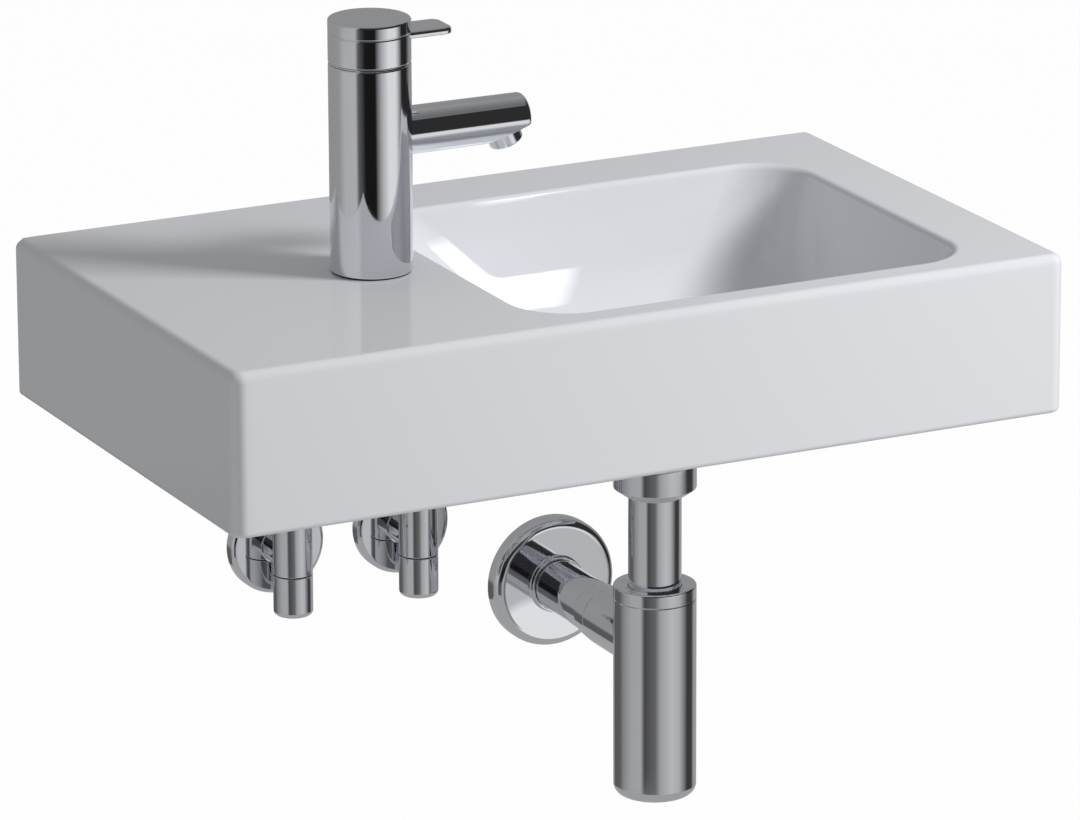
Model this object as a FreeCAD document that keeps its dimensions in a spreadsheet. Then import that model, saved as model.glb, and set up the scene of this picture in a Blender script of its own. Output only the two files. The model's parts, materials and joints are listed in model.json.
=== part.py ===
"""Wall-hung hand basin with a single-lever mixer, a bottle trap and two angle valves.

Row frame in millimetres: +X to the right, +Y into the wall, +Z up. The origin lies on the wall plane,
midway between the two wall-bolt holes.
"""
import FreeCAD, Part
import math
import os
import re

import Sketcher

SIZES = {
    # ceramic basin
    "basin_width": 530.0,
    "basin_depth": 310.0,
    "basin_height": 96.0,
    "ceramic_wall": 12.0,
    "deck_thick": 14.0,
    "outer_round": 6.0,
    "corner_round": 8.0,
    "foot_round": 3.0,
    "bolt_drop": 50.0,
    "bolt_spacing": 280.0,
    "bolt_hole": 16.0,
    # bowl
    "bowl_from_right": 47.0,
    "bowl_from_front": 23.0,
    "bowl_from_back": 49.0,
    "bowl_length": 285.0,
    "bowl_depth": 80.0,
    "bowl_floor": 12.0,
    "bowl_corner": 36.0,
    "floor_corner": 66.0,
    "bowl_draft": 16.0,
    "bowl_ramp": 58.0,
    "bowl_floor_round": 44.0,
    "rim_round": 4.0,
    # slotted waste in the bowl floor
    "waste_from_bowl_right": 136.0,
    "waste_from_bowl_back": 95.0,
    "waste_hole": 46.0,
    "waste_flange": 63.0,
    "waste_flange_thick": 3.0,
    "waste_flange_edge": 1.0,
    "waste_tail": 41.9,
    "waste_bore": 36.0,
    "waste_tail_length": 73.0,
    "waste_seal_width": 60.0,
    "waste_top_seal_thick": 2.0,
    "waste_bottom_seal_thick": 4.0,
    "backnut_flats": 56.0,
    "backnut_height": 8.0,
    "strainer_thick": 2.5,
    "strainer_hole": 8.0,
    "strainer_circle": 24.0,
    "strainer_holes": 6.0,
    # bottle trap
    "slip_nut": 50.0,
    "slip_nut_side": 15.6,
    "slip_nut_cone": 5.4,
    "slip_nut_rim": 1.35,
    "slip_nut_grip": 7.0,
    "slip_lip": 8.5,
    "inlet_seal_thick": 3.0,
    "tube_collar_thick": 2.0,
    "trap_tube": 32.0,
    "trap_tube_wall": 1.2,
    "tube_show": 55.5,
    "bottle": 50.0,
    "bottle_wall": 2.0,
    "bottle_height": 124.0,
    "bottle_round": 8.0,
    "bottle_base_thick": 4.0,
    "bottle_shoulder": 4.0,
    "dip_gap": 32.0,
    "cap_height": 8.5,
    "cap_plate": 2.5,
    "cap_round": 3.0,
    "cap_wall": 1.6,
    "tube_seal_thick": 2.0,
    "arm_drop": 31.0,
    "arm": 36.4,
    "socket_length": 60.0,
    "gland_length": 14.0,
    "gland_spigot": 6.0,
    "gland_taper": 1.0,
    "socket_step": 1.1,
    "outlet_seal_thick": 3.0,
    "wall_tube_insert": 28.0,
    "wall_tube_reach": 40.0,
    "depth_mark": 0.4,
    "depth_mark_width": 1.5,
    "trap_rosette": 82.0,
    "trap_rosette_depth": 12.0,
    "rosette_neck": 35.4,
    "rosette_neck_length": 4.0,
    "rosette_shell": 1.5,
    "rosette_rim": 3.0,
    "rosette_bevel": 1.5,
    "rosette_round": 6.0,
    # angle valves
    "hot_valve_offset": 4.5,
    "valve_pitch": 83.5,
    "valve_drop": 160.5,
    "valve_stand": 29.0,
    "valve_width": 24.0,
    "valve_arm": 22.0,
    "valve_rise": 26.0,
    "valve_seam_drop": 11.5,
    "valve_bore": 8.0,
    "inlet_thread": 20.955,
    "inlet_length": 16.0,
    "valve_rosette": 61.0,
    "valve_rosette_depth": 9.0,
    "valve_rosette_round": 3.0,
    "headwork": 17.0,
    "headwork_length": 12.0,
    "seat_seal_thick": 1.5,
    "spindle": 6.0,
    "spindle_collar": 9.0,
    "spindle_collar_length": 3.0,
    "spindle_grip": 14.0,
    "knob_height": 25.5,
    "knob_round": 4.0,
    "knob_gap": 0.6,
    "spigot": 16.0,
    "spigot_height": 9.0,
    "olive_height": 5.0,
    "olive_wall": 1.9,
    "nut_flats": 22.0,
    "nut_lip": 2.5,
    # rigid supply tails between tap and valves
    "supply_tail": 10.0,
    "supply_wall": 1.0,
    "supply_spacing": 15.0,
    "supply_offset": 5.0,
    "supply_socket": 16.0,
    "supply_straight": 7.0,
    "supply_fall": 87.0,
    "supply_bend": 36.0,
    # single-lever mixer
    "tap_from_bowl": 40.5,
    "tap_from_front": 155.0,
    "tap_hole": 35.0,
    "tap_width": 48.0,
    "tap_seal_thick": 1.0,
    "tap_seal_width": 46.0,
    "tap_body_height": 123.8,
    "tap_chamfer": 1.0,
    "cartridge_depth": 28.0,
    "cartridge_bore": 36.4,
    "water_way": 5.0,
    "mixed_offset": 10.5,
    "spout_drop": 43.3,
    "spout_width": 28.4,
    "spout_tip": 27.4,
    "spout_reach": 97.5,
    "spout_bore": 12.0,
    "spout_spigot": 24.0,
    "spout_spigot_length": 7.0,
    "spout_round": 3.0,
    "spout_end_wall": 12.0,
    "spout_heel": 8.0,
    "aerator_reach": 81.0,
    "aerator_angle": 23.0,
    "aerator": 20.0,
    "aerator_wall": 1.6,
    "aerator_lip": 1.0,
    "aerator_face": 15.5,
    "aerator_length": 12.0,
    "aerator_seal_thick": 1.5,
    "mesh_thick": 5.0,
    "mesh_hole": 3.0,
    "mesh_circle": 10.0,
    "mesh_holes": 8.0,
    "stud": 8.0,
    "stud_offset": 9.5,
    "stud_socket": 16.0,
    "stud_tail": 40.0,
    "clamp_width": 47.0,
    "clamp_gasket_thick": 3.0,
    "clamp_washer_thick": 2.5,
    "clamp_notch": 28.0,
    "notch_gap": 2.0,
    "clamp_nut_flats": 13.0,
    "clamp_nut_height": 12.0,
    # ceramic-disc cartridge
    "base_seal_thick": 0.8,
    "cartridge_height": 23.0,
    "cartridge_base": 3.0,
    "cartridge_wall": 2.7,
    "fixed_disc_thick": 3.0,
    "moving_disc_thick": 5.0,
    "moving_disc": 20.0,
    "disc_gap": 0.05,
    "driver_lift": 0.3,
    "driver_height": 11.3,
    "driver_slot_front": 7.0,
    "driver_slot_back": 9.5,
    "ring_height": 4.2,
    "ring_opening": 25.0,
    "pin": 3.0,
    "pin_length": 24.0,
    "pivot_depth": 12.0,
    # lever handle
    "groove": 1.2,
    "handle_height": 25.0,
    "handle_round": 1.5,
    "swing_gap": 0.4,
    "dome_wall": 1.5,
    "dome_opening": 30.0,
    "stem": 9.0,
    "stem_blade": 6.0,
    "stem_foot": 2.5,
    "stem_rise": 34.8,
    "blade_rise": 17.4,
    "stem_neck": 2.6,
    "ball": 4.8,
    "ball_drop": 5.2,
    "ball_gap": 0.15,
    "lever_reach": 48.5,
    "lever_root": 25.0,
    "lever_tip": 24.0,
    "lever_thick": 4.2,
    "lever_drop": 8.2,
    "lever_tip_round": 6.0,
    "grub": 5.0,
    "grub_length": 8.0,
    "grub_drop": 9.0,
    "plug": 6.0,
    "plug_length": 3.0,
    "plug_inset": 0.4,
    # clearances
    "thread_gap": 0.05,
    "slide_gap": 0.3,
    "running_gap": 0.05,
}

PLACES = {
    # heights and places in the row frame
    "deck_z": "bolt_drop",
    "foot_z": "bolt_drop - basin_height",
    "right_x": "basin_width / 2",
    "bowl_right": "basin_width / 2 - bowl_from_right",
    "bowl_left": "bowl_right - bowl_length",
    "bowl_front": "bowl_from_front - basin_depth",
    "bowl_back": "-bowl_from_back",
    "floor_left": "bowl_left + bowl_ramp",
    "floor_right": "bowl_right - bowl_draft",
    "floor_front": "bowl_front + bowl_draft",
    "floor_back": "bowl_back - bowl_draft",
    "skin_corner": "bowl_corner + ceramic_wall",
    "skin_floor_corner": "floor_corner + ceramic_wall",
    "skin_floor_round": "bowl_floor_round + bowl_floor",
    "bowl_left_out": "bowl_left - ceramic_wall",
    "bowl_right_out": "bowl_right + ceramic_wall",
    "bowl_front_out": "bowl_front - ceramic_wall",
    "bowl_back_out": "bowl_back + ceramic_wall",
    "floor_left_out": "floor_left - ceramic_wall",
    "floor_right_out": "floor_right + ceramic_wall",
    "floor_front_out": "floor_front - ceramic_wall",
    "floor_back_out": "floor_back + ceramic_wall",
    "cavity_roof": "basin_height - deck_thick",
    "floor_up": "basin_height - bowl_depth",
    "under_floor_up": "floor_up - bowl_floor",
    "floor_z": "deck_z - bowl_depth",
    "under_floor_z": "floor_z - bowl_floor",
    "waste_x": "bowl_right - waste_from_bowl_right",
    "waste_y": "bowl_back - waste_from_bowl_back",
    "tail_end_z": "floor_z - waste_tail_length",
    "slip_top_z": "tail_end_z + slip_nut_grip",
    "slip_base_z": "slip_top_z - slip_nut_side - slip_nut_cone",
    "collar_z": "tail_end_z - inlet_seal_thick",
    "cap_top_z": "slip_base_z - tube_show",
    "seam_z": "cap_top_z - cap_height",
    "bottle_base_z": "seam_z - bottle_height",
    "neck_top_z": "cap_top_z - cap_plate - tube_seal_thick",
    "neck_r": "bottle / 2 - cap_wall - thread_gap",
    "arm_z": "seam_z - arm_drop",
    "socket_end_y": "waste_y + socket_length",
    "tap_x": "bowl_left - tap_from_bowl",
    "tap_y": "tap_from_front - basin_depth",
    "hot_valve_x": "tap_x + hot_valve_offset",
    "cold_valve_x": "hot_valve_x + valve_pitch",
    "valve_y": "-valve_stand",
    "valve_z": "-valve_drop",
    "valve_top_z": "valve_z + valve_rise",
    "valve_seam_z": "valve_z - valve_seam_drop",
    "spigot_top_z": "valve_top_z + spigot_height",
    "nut_height": "spigot_height + olive_height + nut_lip - slide_gap",
    "nut_top_z": "spigot_top_z + olive_height + nut_lip",
    # supply tails
    "hot_tail_x": "tap_x - supply_spacing / 2",
    "cold_tail_x": "tap_x + supply_spacing / 2",
    "tail_y": "tap_y - supply_offset",
    "tail_top_z": "deck_z + tap_seal_thick + supply_socket",
    "hot_tail_run": "sqrt(pow(hot_valve_x - hot_tail_x; 2) + pow(valve_y - tail_y; 2))",
    "cold_tail_run": "sqrt(pow(cold_valve_x - cold_tail_x; 2) + pow(valve_y - tail_y; 2))",
    "tail_lower_up": "nut_top_z + supply_straight - tail_top_z",
    "tail_upper_up": "tail_lower_up + supply_fall",
    "tail_end_up": "valve_top_z - tail_top_z",
    # heights above the deck on the mixer
    "cartridge_seat": "tap_body_height - cartridge_depth",
    "spout_height": "tap_body_height - spout_drop",
    "body_top_z": "deck_z + tap_body_height",
    "seat_z": "deck_z + cartridge_seat",
    "housing_z": "seat_z + base_seal_thick",
    "fixed_disc_z": "housing_z + cartridge_base",
    "moving_disc_z": "fixed_disc_z + fixed_disc_thick + disc_gap",
    "driver_z": "moving_disc_z + moving_disc_thick + driver_lift",
    "housing_r": "cartridge_bore / 2 - slide_gap",
    "housing_bore_r": "housing_r - cartridge_wall",
    "pivot_z": "body_top_z - pivot_depth",
    "spout_z": "deck_z + spout_height",
    "dome_r": "sqrt(pow(tap_width / 2 - tap_chamfer; 2) + pow(pivot_depth; 2))",
    "swing_r": "sqrt(pow(tap_width / 2; 2) + pow(pivot_depth - tap_chamfer; 2)) + swing_gap",
    "handle_base_z": "body_top_z + groove",
    "handle_top_z": "handle_base_z + handle_height",
    "grub_z": "handle_top_z - grub_drop",
}

WORD = re.compile(r"[a-z][a-z_0-9]*")
UP = None
TO_WALL = FreeCAD.Rotation(FreeCAD.Vector(1, 0, 0), -90)
FROM_WALL = FreeCAD.Rotation(FreeCAD.Vector(1, 0, 0), 90)
TO_RIGHT = FreeCAD.Rotation(FreeCAD.Vector(0, 1, 0), 90)
NEAR = 1e-4

doc = FreeCAD.newDocument("hand_basin")
nodes = []


def formula(text):
    """The text with each size and place named on its own sheet."""
    def named(match):
        word = match.group(0)
        if word in SIZES:
            return "Sizes." + word
        if word in PLACES:
            return "Places." + word
        return word
    return WORD.sub(named, text)


def make_sheet(title, entries, to_cell):
    """A sheet with one named cell for each entry."""
    sheet = doc.addObject("Spreadsheet::Sheet", title)
    for row, (name, entry) in enumerate(entries.items(), start=1):
        sheet.set("A%d" % row, name)
        sheet.set("B%d" % row, to_cell(entry))
        sheet.setAlias("B%d" % row, name)
    doc.recompute()
    return sheet


sizes = make_sheet("Sizes", SIZES, str)
places = make_sheet("Places", PLACES, lambda text: "=" + formula(text))


def number(name):
    """The present value of a size or a place."""
    return float((sizes if name in SIZES else places).get(name))


def keep(label, piece):
    """Names a finished piece and puts it on the list of pieces to write."""
    piece.Label = label
    nodes.append(piece)
    return piece


def bind(piece, **properties):
    """Ties properties of a piece to the sheets."""
    for name, text in properties.items():
        piece.setExpression(name, formula(text))


def place(piece, at, turn=UP):
    """Turns a piece and ties its place to the sheets."""
    if turn is not UP:
        piece.Placement = FreeCAD.Placement(FreeCAD.Vector(), turn)
    for axis, text in zip("xyz", at):
        piece.setExpression("Placement.Base." + axis, formula(text))
    return piece


def new_sketch(body, name, plane="XY_Plane", lift=None):
    """An empty sketch on one of the body's own planes, lifted along its normal."""
    sketch = body.newObject("Sketcher::SketchObject", name)
    support = [feature for feature in body.Origin.OriginFeatures if feature.Role == plane][0]
    sketch.AttachmentSupport = [(support, "")]
    sketch.MapMode = "FlatFace"
    if lift:
        sketch.setExpression("AttachmentOffset.Base.z", formula(lift))
    return sketch


def tie_point(sketch, line, end, across, up):
    """Fixes one end of a line at a place given by two formulas."""
    for kind, text in (("DistanceX", across), ("DistanceY", up)):
        index = sketch.addConstraint(Sketcher.Constraint(kind, -1, 1, line, end, 0.0))
        if text != "0":
            sketch.setExpression("Constraints[%d]" % index, formula(text))


def outline(sketch, corners):
    """A closed outline of straight lines whose corners are pairs of formulas."""
    count = len(corners)
    first = sketch.GeometryCount
    spots = [FreeCAD.Vector(math.cos(2 * math.pi * i / count), math.sin(2 * math.pi * i / count), 0)
             for i in range(count)]
    for i in range(count):
        sketch.addGeometry(Part.LineSegment(spots[i], spots[(i + 1) % count]), False)
    for i in range(count):
        sketch.addConstraint(Sketcher.Constraint("Coincident", first + i, 2, first + (i + 1) % count, 1))
    for i, (across, up) in enumerate(corners):
        tie_point(sketch, first + i, 1, across, up)
    return sketch


def circle(sketch, radius, across="0", up="0"):
    """A circle in a sketch."""
    index = sketch.addGeometry(Part.Circle(FreeCAD.Vector(), FreeCAD.Vector(0, 0, 1), 1.0), False)
    size = sketch.addConstraint(Sketcher.Constraint("Radius", index, 1.0))
    sketch.setExpression("Constraints[%d]" % size, formula(radius))
    tie_point(sketch, index, 3, across, up)
    return sketch


def rounded_rectangle(sketch, left, right, low, high, corner):
    """A rectangle with four equal round corners; each side is the name of a place."""
    x0, x1, y0, y1, r = [number(name) for name in (left, right, low, high, corner)]
    vector = FreeCAD.Vector
    normal = vector(0, 0, 1)
    ends = [(vector(x0 + r, y0), vector(x1 - r, y0)), (vector(x1, y0 + r), vector(x1, y1 - r)),
            (vector(x1 - r, y1), vector(x0 + r, y1)), (vector(x0, y1 - r), vector(x0, y0 + r))]
    centres = [vector(x1 - r, y0 + r), vector(x1 - r, y1 - r), vector(x0 + r, y1 - r), vector(x0 + r, y0 + r)]
    for i, (start, end) in enumerate(ends):
        sketch.addGeometry(Part.LineSegment(start, end), False)
        begin = -math.pi / 2 + i * math.pi / 2
        arc = Part.ArcOfCircle(Part.Circle(centres[i], normal, r), begin, begin + math.pi / 2)
        sketch.addGeometry(arc, False)
    for i in range(4):
        line, arc, following = 2 * i, 2 * i + 1, (2 * i + 2) % 8
        sketch.addConstraint(Sketcher.Constraint("Tangent", line, 2, arc, 1))
        sketch.addConstraint(Sketcher.Constraint("Tangent", arc, 2, following, 1))
        sketch.addConstraint(Sketcher.Constraint("Horizontal" if i % 2 == 0 else "Vertical", line))
        if i:
            sketch.addConstraint(Sketcher.Constraint("Equal", 1, arc))
    bound = [("Radius", (1, r), corner), ("DistanceX", (-1, 1, 6, 1, x0), left),
             ("DistanceX", (-1, 1, 2, 1, x1), right), ("DistanceY", (-1, 1, 0, 1, y0), low),
             ("DistanceY", (-1, 1, 4, 1, y1), high)]
    for kind, values, name in bound:
        index = sketch.addConstraint(Sketcher.Constraint(kind, *values))
        sketch.setExpression("Constraints[%d]" % index, formula(name))
    return sketch


def new_body(name, at=("0", "0", "0"), turn=UP):
    """An empty body at its place."""
    return place(doc.addObject("PartDesign::Body", name), at, turn)


def pad(body, sketch, length):
    """Raises a sketch along its normal."""
    feature = body.newObject("PartDesign::Pad", sketch.Name + "_pad")
    feature.Profile = sketch
    bind(feature, Length=length)
    return feature


def pocket(body, sketch, length=None, reverse=False):
    """Cuts a sketch against its normal, or along it in reverse; with no length, right through."""
    feature = body.newObject("PartDesign::Pocket", sketch.Name + "_pocket")
    feature.Profile = sketch
    feature.Reversed = reverse
    if length:
        bind(feature, Length=length)
    else:
        feature.Type = 1
    return feature


def revolve(body, name, corners):
    """Turns an outline of (radius, height) corners about the body's own Z axis."""
    sketch = outline(new_sketch(body, name + "_outline", "XZ_Plane"), corners)
    feature = body.newObject("PartDesign::Revolution", name + "_turned")
    feature.Profile = sketch
    feature.ReferenceAxis = (sketch, ["V_Axis"])
    return feature


def turned(name, corners, at, turn=UP):
    """A body of one turned outline."""
    body = new_body(name, at, turn)
    revolve(body, name, corners)
    return body


def ring(name, inner, outer, length, at, turn=UP):
    """A plain ring of inner and outer radius, standing on its place."""
    return turned(name, [(inner, "0"), (outer, "0"), (outer, length), (inner, length)], at, turn)


def hexagon(sketch, flats):
    """A regular hexagon by its width across flats."""
    reach = "(%s) / sqrt(3)" % flats
    half = "(%s) / (2 * sqrt(3))" % flats
    side = "(%s) / 2" % flats
    corners = [(reach, "0"), (half, side), ("-" + half, side), ("-" + reach, "0"),
               ("-" + half, "-" + side), (half, "-" + side)]
    return outline(sketch, corners)


def circular_edges(shape, radius, height):
    """Names of the shape's round edges of one radius at one height on its own Z axis."""
    found = []
    for index, edge in enumerate(shape.Edges, start=1):
        curve = edge.Curve
        if not isinstance(curve, Part.Circle) or abs(curve.Radius - radius) > NEAR:
            continue
        if abs(curve.Center.z - height) < NEAR and math.hypot(curve.Center.x, curve.Center.y) < NEAR:
            found.append("Edge%d" % index)
    return found


def soften(body, radius, edge_names):
    """Rounds named edges of the body's newest feature."""
    base = body.Tip
    feature = body.newObject("PartDesign::Fillet", body.Name + "_round")
    feature.Base = (base, edge_names)
    bind(feature, Radius=radius)
    doc.recompute()
    return feature


def soften_rings(body, radius, rings):
    """Rounds the turned edges at the given (radius, height) pairs."""
    doc.recompute()
    names = []
    for spot in rings:
        names += circular_edges(body.Tip.Shape, *spot)
    return soften(body, radius, names)


def cylinder(name, radius, height, at, turn=UP):
    """A plain cylinder standing on its place."""
    piece = doc.addObject("Part::Cylinder", name)
    bind(piece, Radius=radius, Height=height)
    return place(piece, at, turn)


def block(name, length, width, height, at):
    """A plain block from its lowest corner."""
    piece = doc.addObject("Part::Box", name)
    bind(piece, Length=length, Width=width, Height=height)
    return place(piece, at)


def ball(name, radius, at):
    """A plain ball about its centre."""
    piece = doc.addObject("Part::Sphere", name)
    bind(piece, Radius=radius)
    return place(piece, at)


def joined(name, pieces):
    """Pieces made one."""
    whole = doc.addObject("Part::MultiFuse", name)
    whole.Shapes = pieces
    return whole


def cut(name, base, tools):
    """A piece with others taken out of it."""
    result = doc.addObject("Part::Cut", name)
    result.Base = base
    result.Tool = tools[0] if len(tools) == 1 else joined(name + "_tools", tools)
    return result


def level_edges(shape, height, left, right, front, back):
    """Names of the edges that lie at one height inside a rectangle."""
    found = []
    for index, edge in enumerate(shape.Edges, start=1):
        box = edge.BoundBox
        level = abs(box.ZMin - height) < NEAR and abs(box.ZMax - height) < NEAR
        inside = left - NEAR < box.XMin and box.XMax < right + NEAR
        if level and inside and front - NEAR < box.YMin and box.YMax < back + NEAR:
            found.append("Edge%d" % index)
    return found


def basin_body():
    """Ceramic basin: a slab with a hollow underside, a drafted bowl, and tap, waste and bolt holes."""
    body = new_body("basin_body_shell", ("0", "0", "foot_z"))
    half = number("right_x")
    depth = number("basin_depth")
    height = number("basin_height")
    slab = outline(new_sketch(body, "slab"), [("-right_x", "-basin_depth"), ("right_x", "-basin_depth"),
                                              ("right_x", "0"), ("-right_x", "0")])
    pad(body, slab, "basin_height")
    doc.recompute()
    upright = ["Edge%d" % i for i, edge in enumerate(body.Tip.Shape.Edges, start=1)
               if edge.BoundBox.ZLength > height - NEAR and edge.BoundBox.YMax < -depth + NEAR]
    soften(body, "corner_round", upright)
    for level, radius in ((height, "outer_round"), (0.0, "foot_round")):
        loop = level_edges(body.Tip.Shape, level, -half, half, -depth, 0.0)
        shape = body.Tip.Shape
        loop = [name for name in loop if shape.getElement(name).BoundBox.YMin < -NEAR]
        soften(body, radius, loop)
    cavity = outline(new_sketch(body, "cavity"),
                     [("ceramic_wall - right_x", "ceramic_wall - basin_depth"),
                      ("right_x - ceramic_wall", "ceramic_wall - basin_depth"),
                      ("right_x - ceramic_wall", "-ceramic_wall"),
                      ("ceramic_wall - right_x", "-ceramic_wall")])
    pocket(body, cavity, "cavity_roof", reverse=True)
    skin_top = new_sketch(body, "skin_top", lift="basin_height - deck_thick / 2")
    rounded_rectangle(skin_top, "bowl_left_out", "bowl_right_out", "bowl_front_out", "bowl_back_out",
                      "skin_corner")
    skin_base = new_sketch(body, "skin_base", lift="under_floor_up")
    rounded_rectangle(skin_base, "floor_left_out", "floor_right_out", "floor_front_out", "floor_back_out",
                      "skin_floor_corner")
    skin = body.newObject("PartDesign::AdditiveLoft", "bowl_skin")
    skin.Profile = skin_top
    skin.Sections = [skin_base]
    skin.Ruled = True
    doc.recompute()
    outside = [number(name) for name in ("bowl_left_out", "bowl_right_out", "bowl_front_out", "bowl_back_out")]
    soften(body, "skin_floor_round", level_edges(body.Tip.Shape, number("under_floor_up"), *outside))
    bowl_top = rounded_rectangle(new_sketch(body, "bowl_top", lift="basin_height"),
                                 "bowl_left", "bowl_right", "bowl_front", "bowl_back", "bowl_corner")
    bowl_base = rounded_rectangle(new_sketch(body, "bowl_base", lift="floor_up"),
                                  "floor_left", "floor_right", "floor_front", "floor_back", "floor_corner")
    hollow = body.newObject("PartDesign::SubtractiveLoft", "bowl_hollow")
    hollow.Profile = bowl_top
    hollow.Sections = [bowl_base]
    hollow.Ruled = True
    doc.recompute()
    opening = [number(name) for name in ("bowl_left", "bowl_right", "bowl_front", "bowl_back")]
    soften(body, "bowl_floor_round", level_edges(body.Tip.Shape, number("floor_up"), *opening))
    soften(body, "rim_round", level_edges(body.Tip.Shape, height, *opening))
    tap_hole = new_sketch(body, "tap_hole_mark", lift="basin_height")
    pocket(body, circle(tap_hole, "tap_hole / 2", "tap_x", "tap_y"), "deck_thick")
    waste_hole = new_sketch(body, "waste_hole_mark", lift="floor_up")
    pocket(body, circle(waste_hole, "waste_hole / 2", "waste_x", "waste_y"))
    bolts = new_sketch(body, "bolt_holes", "XZ_Plane")
    circle(bolts, "bolt_hole / 2", "bolt_spacing / 2", "basin_height - bolt_drop")
    circle(bolts, "bolt_hole / 2", "-bolt_spacing / 2", "basin_height - bolt_drop")
    pocket(body, bolts, "ceramic_wall", reverse=True)
    keep("basin_body", body)


def waste():
    """Slotted waste: flanged tail with a strainer, its two seals and its backnut."""
    axis = ("waste_x", "waste_y")
    tail_r = "waste_tail / 2"
    bore = "waste_bore / 2"
    rest = "waste_tail_length + waste_top_seal_thick"
    body = new_body("waste_flange_part", axis + ("tail_end_z",))
    revolve(body, "waste_flange", [(bore, "0"), (tail_r, "0"), (tail_r, rest), ("waste_flange / 2", rest),
                                   ("waste_flange / 2", rest + " + waste_flange_edge"),
                                   (tail_r, rest + " + waste_flange_thick"), (bore, rest)])
    grid = circle(new_sketch(body, "strainer", lift=rest + " - strainer_thick"), bore + " + thread_gap")
    pad(body, grid, "strainer_thick")
    drain = circle(new_sketch(body, "drain_hole", lift=rest), "strainer_hole / 2", "strainer_circle / 2")
    hole = pocket(body, drain, "strainer_thick")
    pattern = body.newObject("PartDesign::PolarPattern", "drain_holes")
    pattern.Originals = [hole]
    pattern.Axis = (drain, ["N_Axis"])
    bind(pattern, Occurrences="strainer_holes")
    body.Tip = pattern
    centre = circle(new_sketch(body, "centre_hole", lift=rest), "strainer_hole / 2")
    pocket(body, centre, "strainer_thick")
    keep("waste_flange", body)
    inner = tail_r + " + slide_gap"
    outer = "waste_seal_width / 2"
    keep("waste_top_seal", ring("top_seal", inner, outer, "waste_top_seal_thick", axis + ("floor_z",)))
    keep("waste_bottom_seal", ring("bottom_seal", inner, outer, "waste_bottom_seal_thick",
                                   axis + ("under_floor_z - waste_bottom_seal_thick",)))
    nut = new_body("waste_backnut_part", axis + ("under_floor_z - waste_bottom_seal_thick - backnut_height",))
    pad(nut, hexagon(new_sketch(nut, "backnut_flats_mark"), "backnut_flats"), "backnut_height")
    pocket(nut, circle(new_sketch(nut, "backnut_thread", lift="backnut_height"), tail_r + " + thread_gap"))
    keep("waste_backnut", nut)


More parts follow.
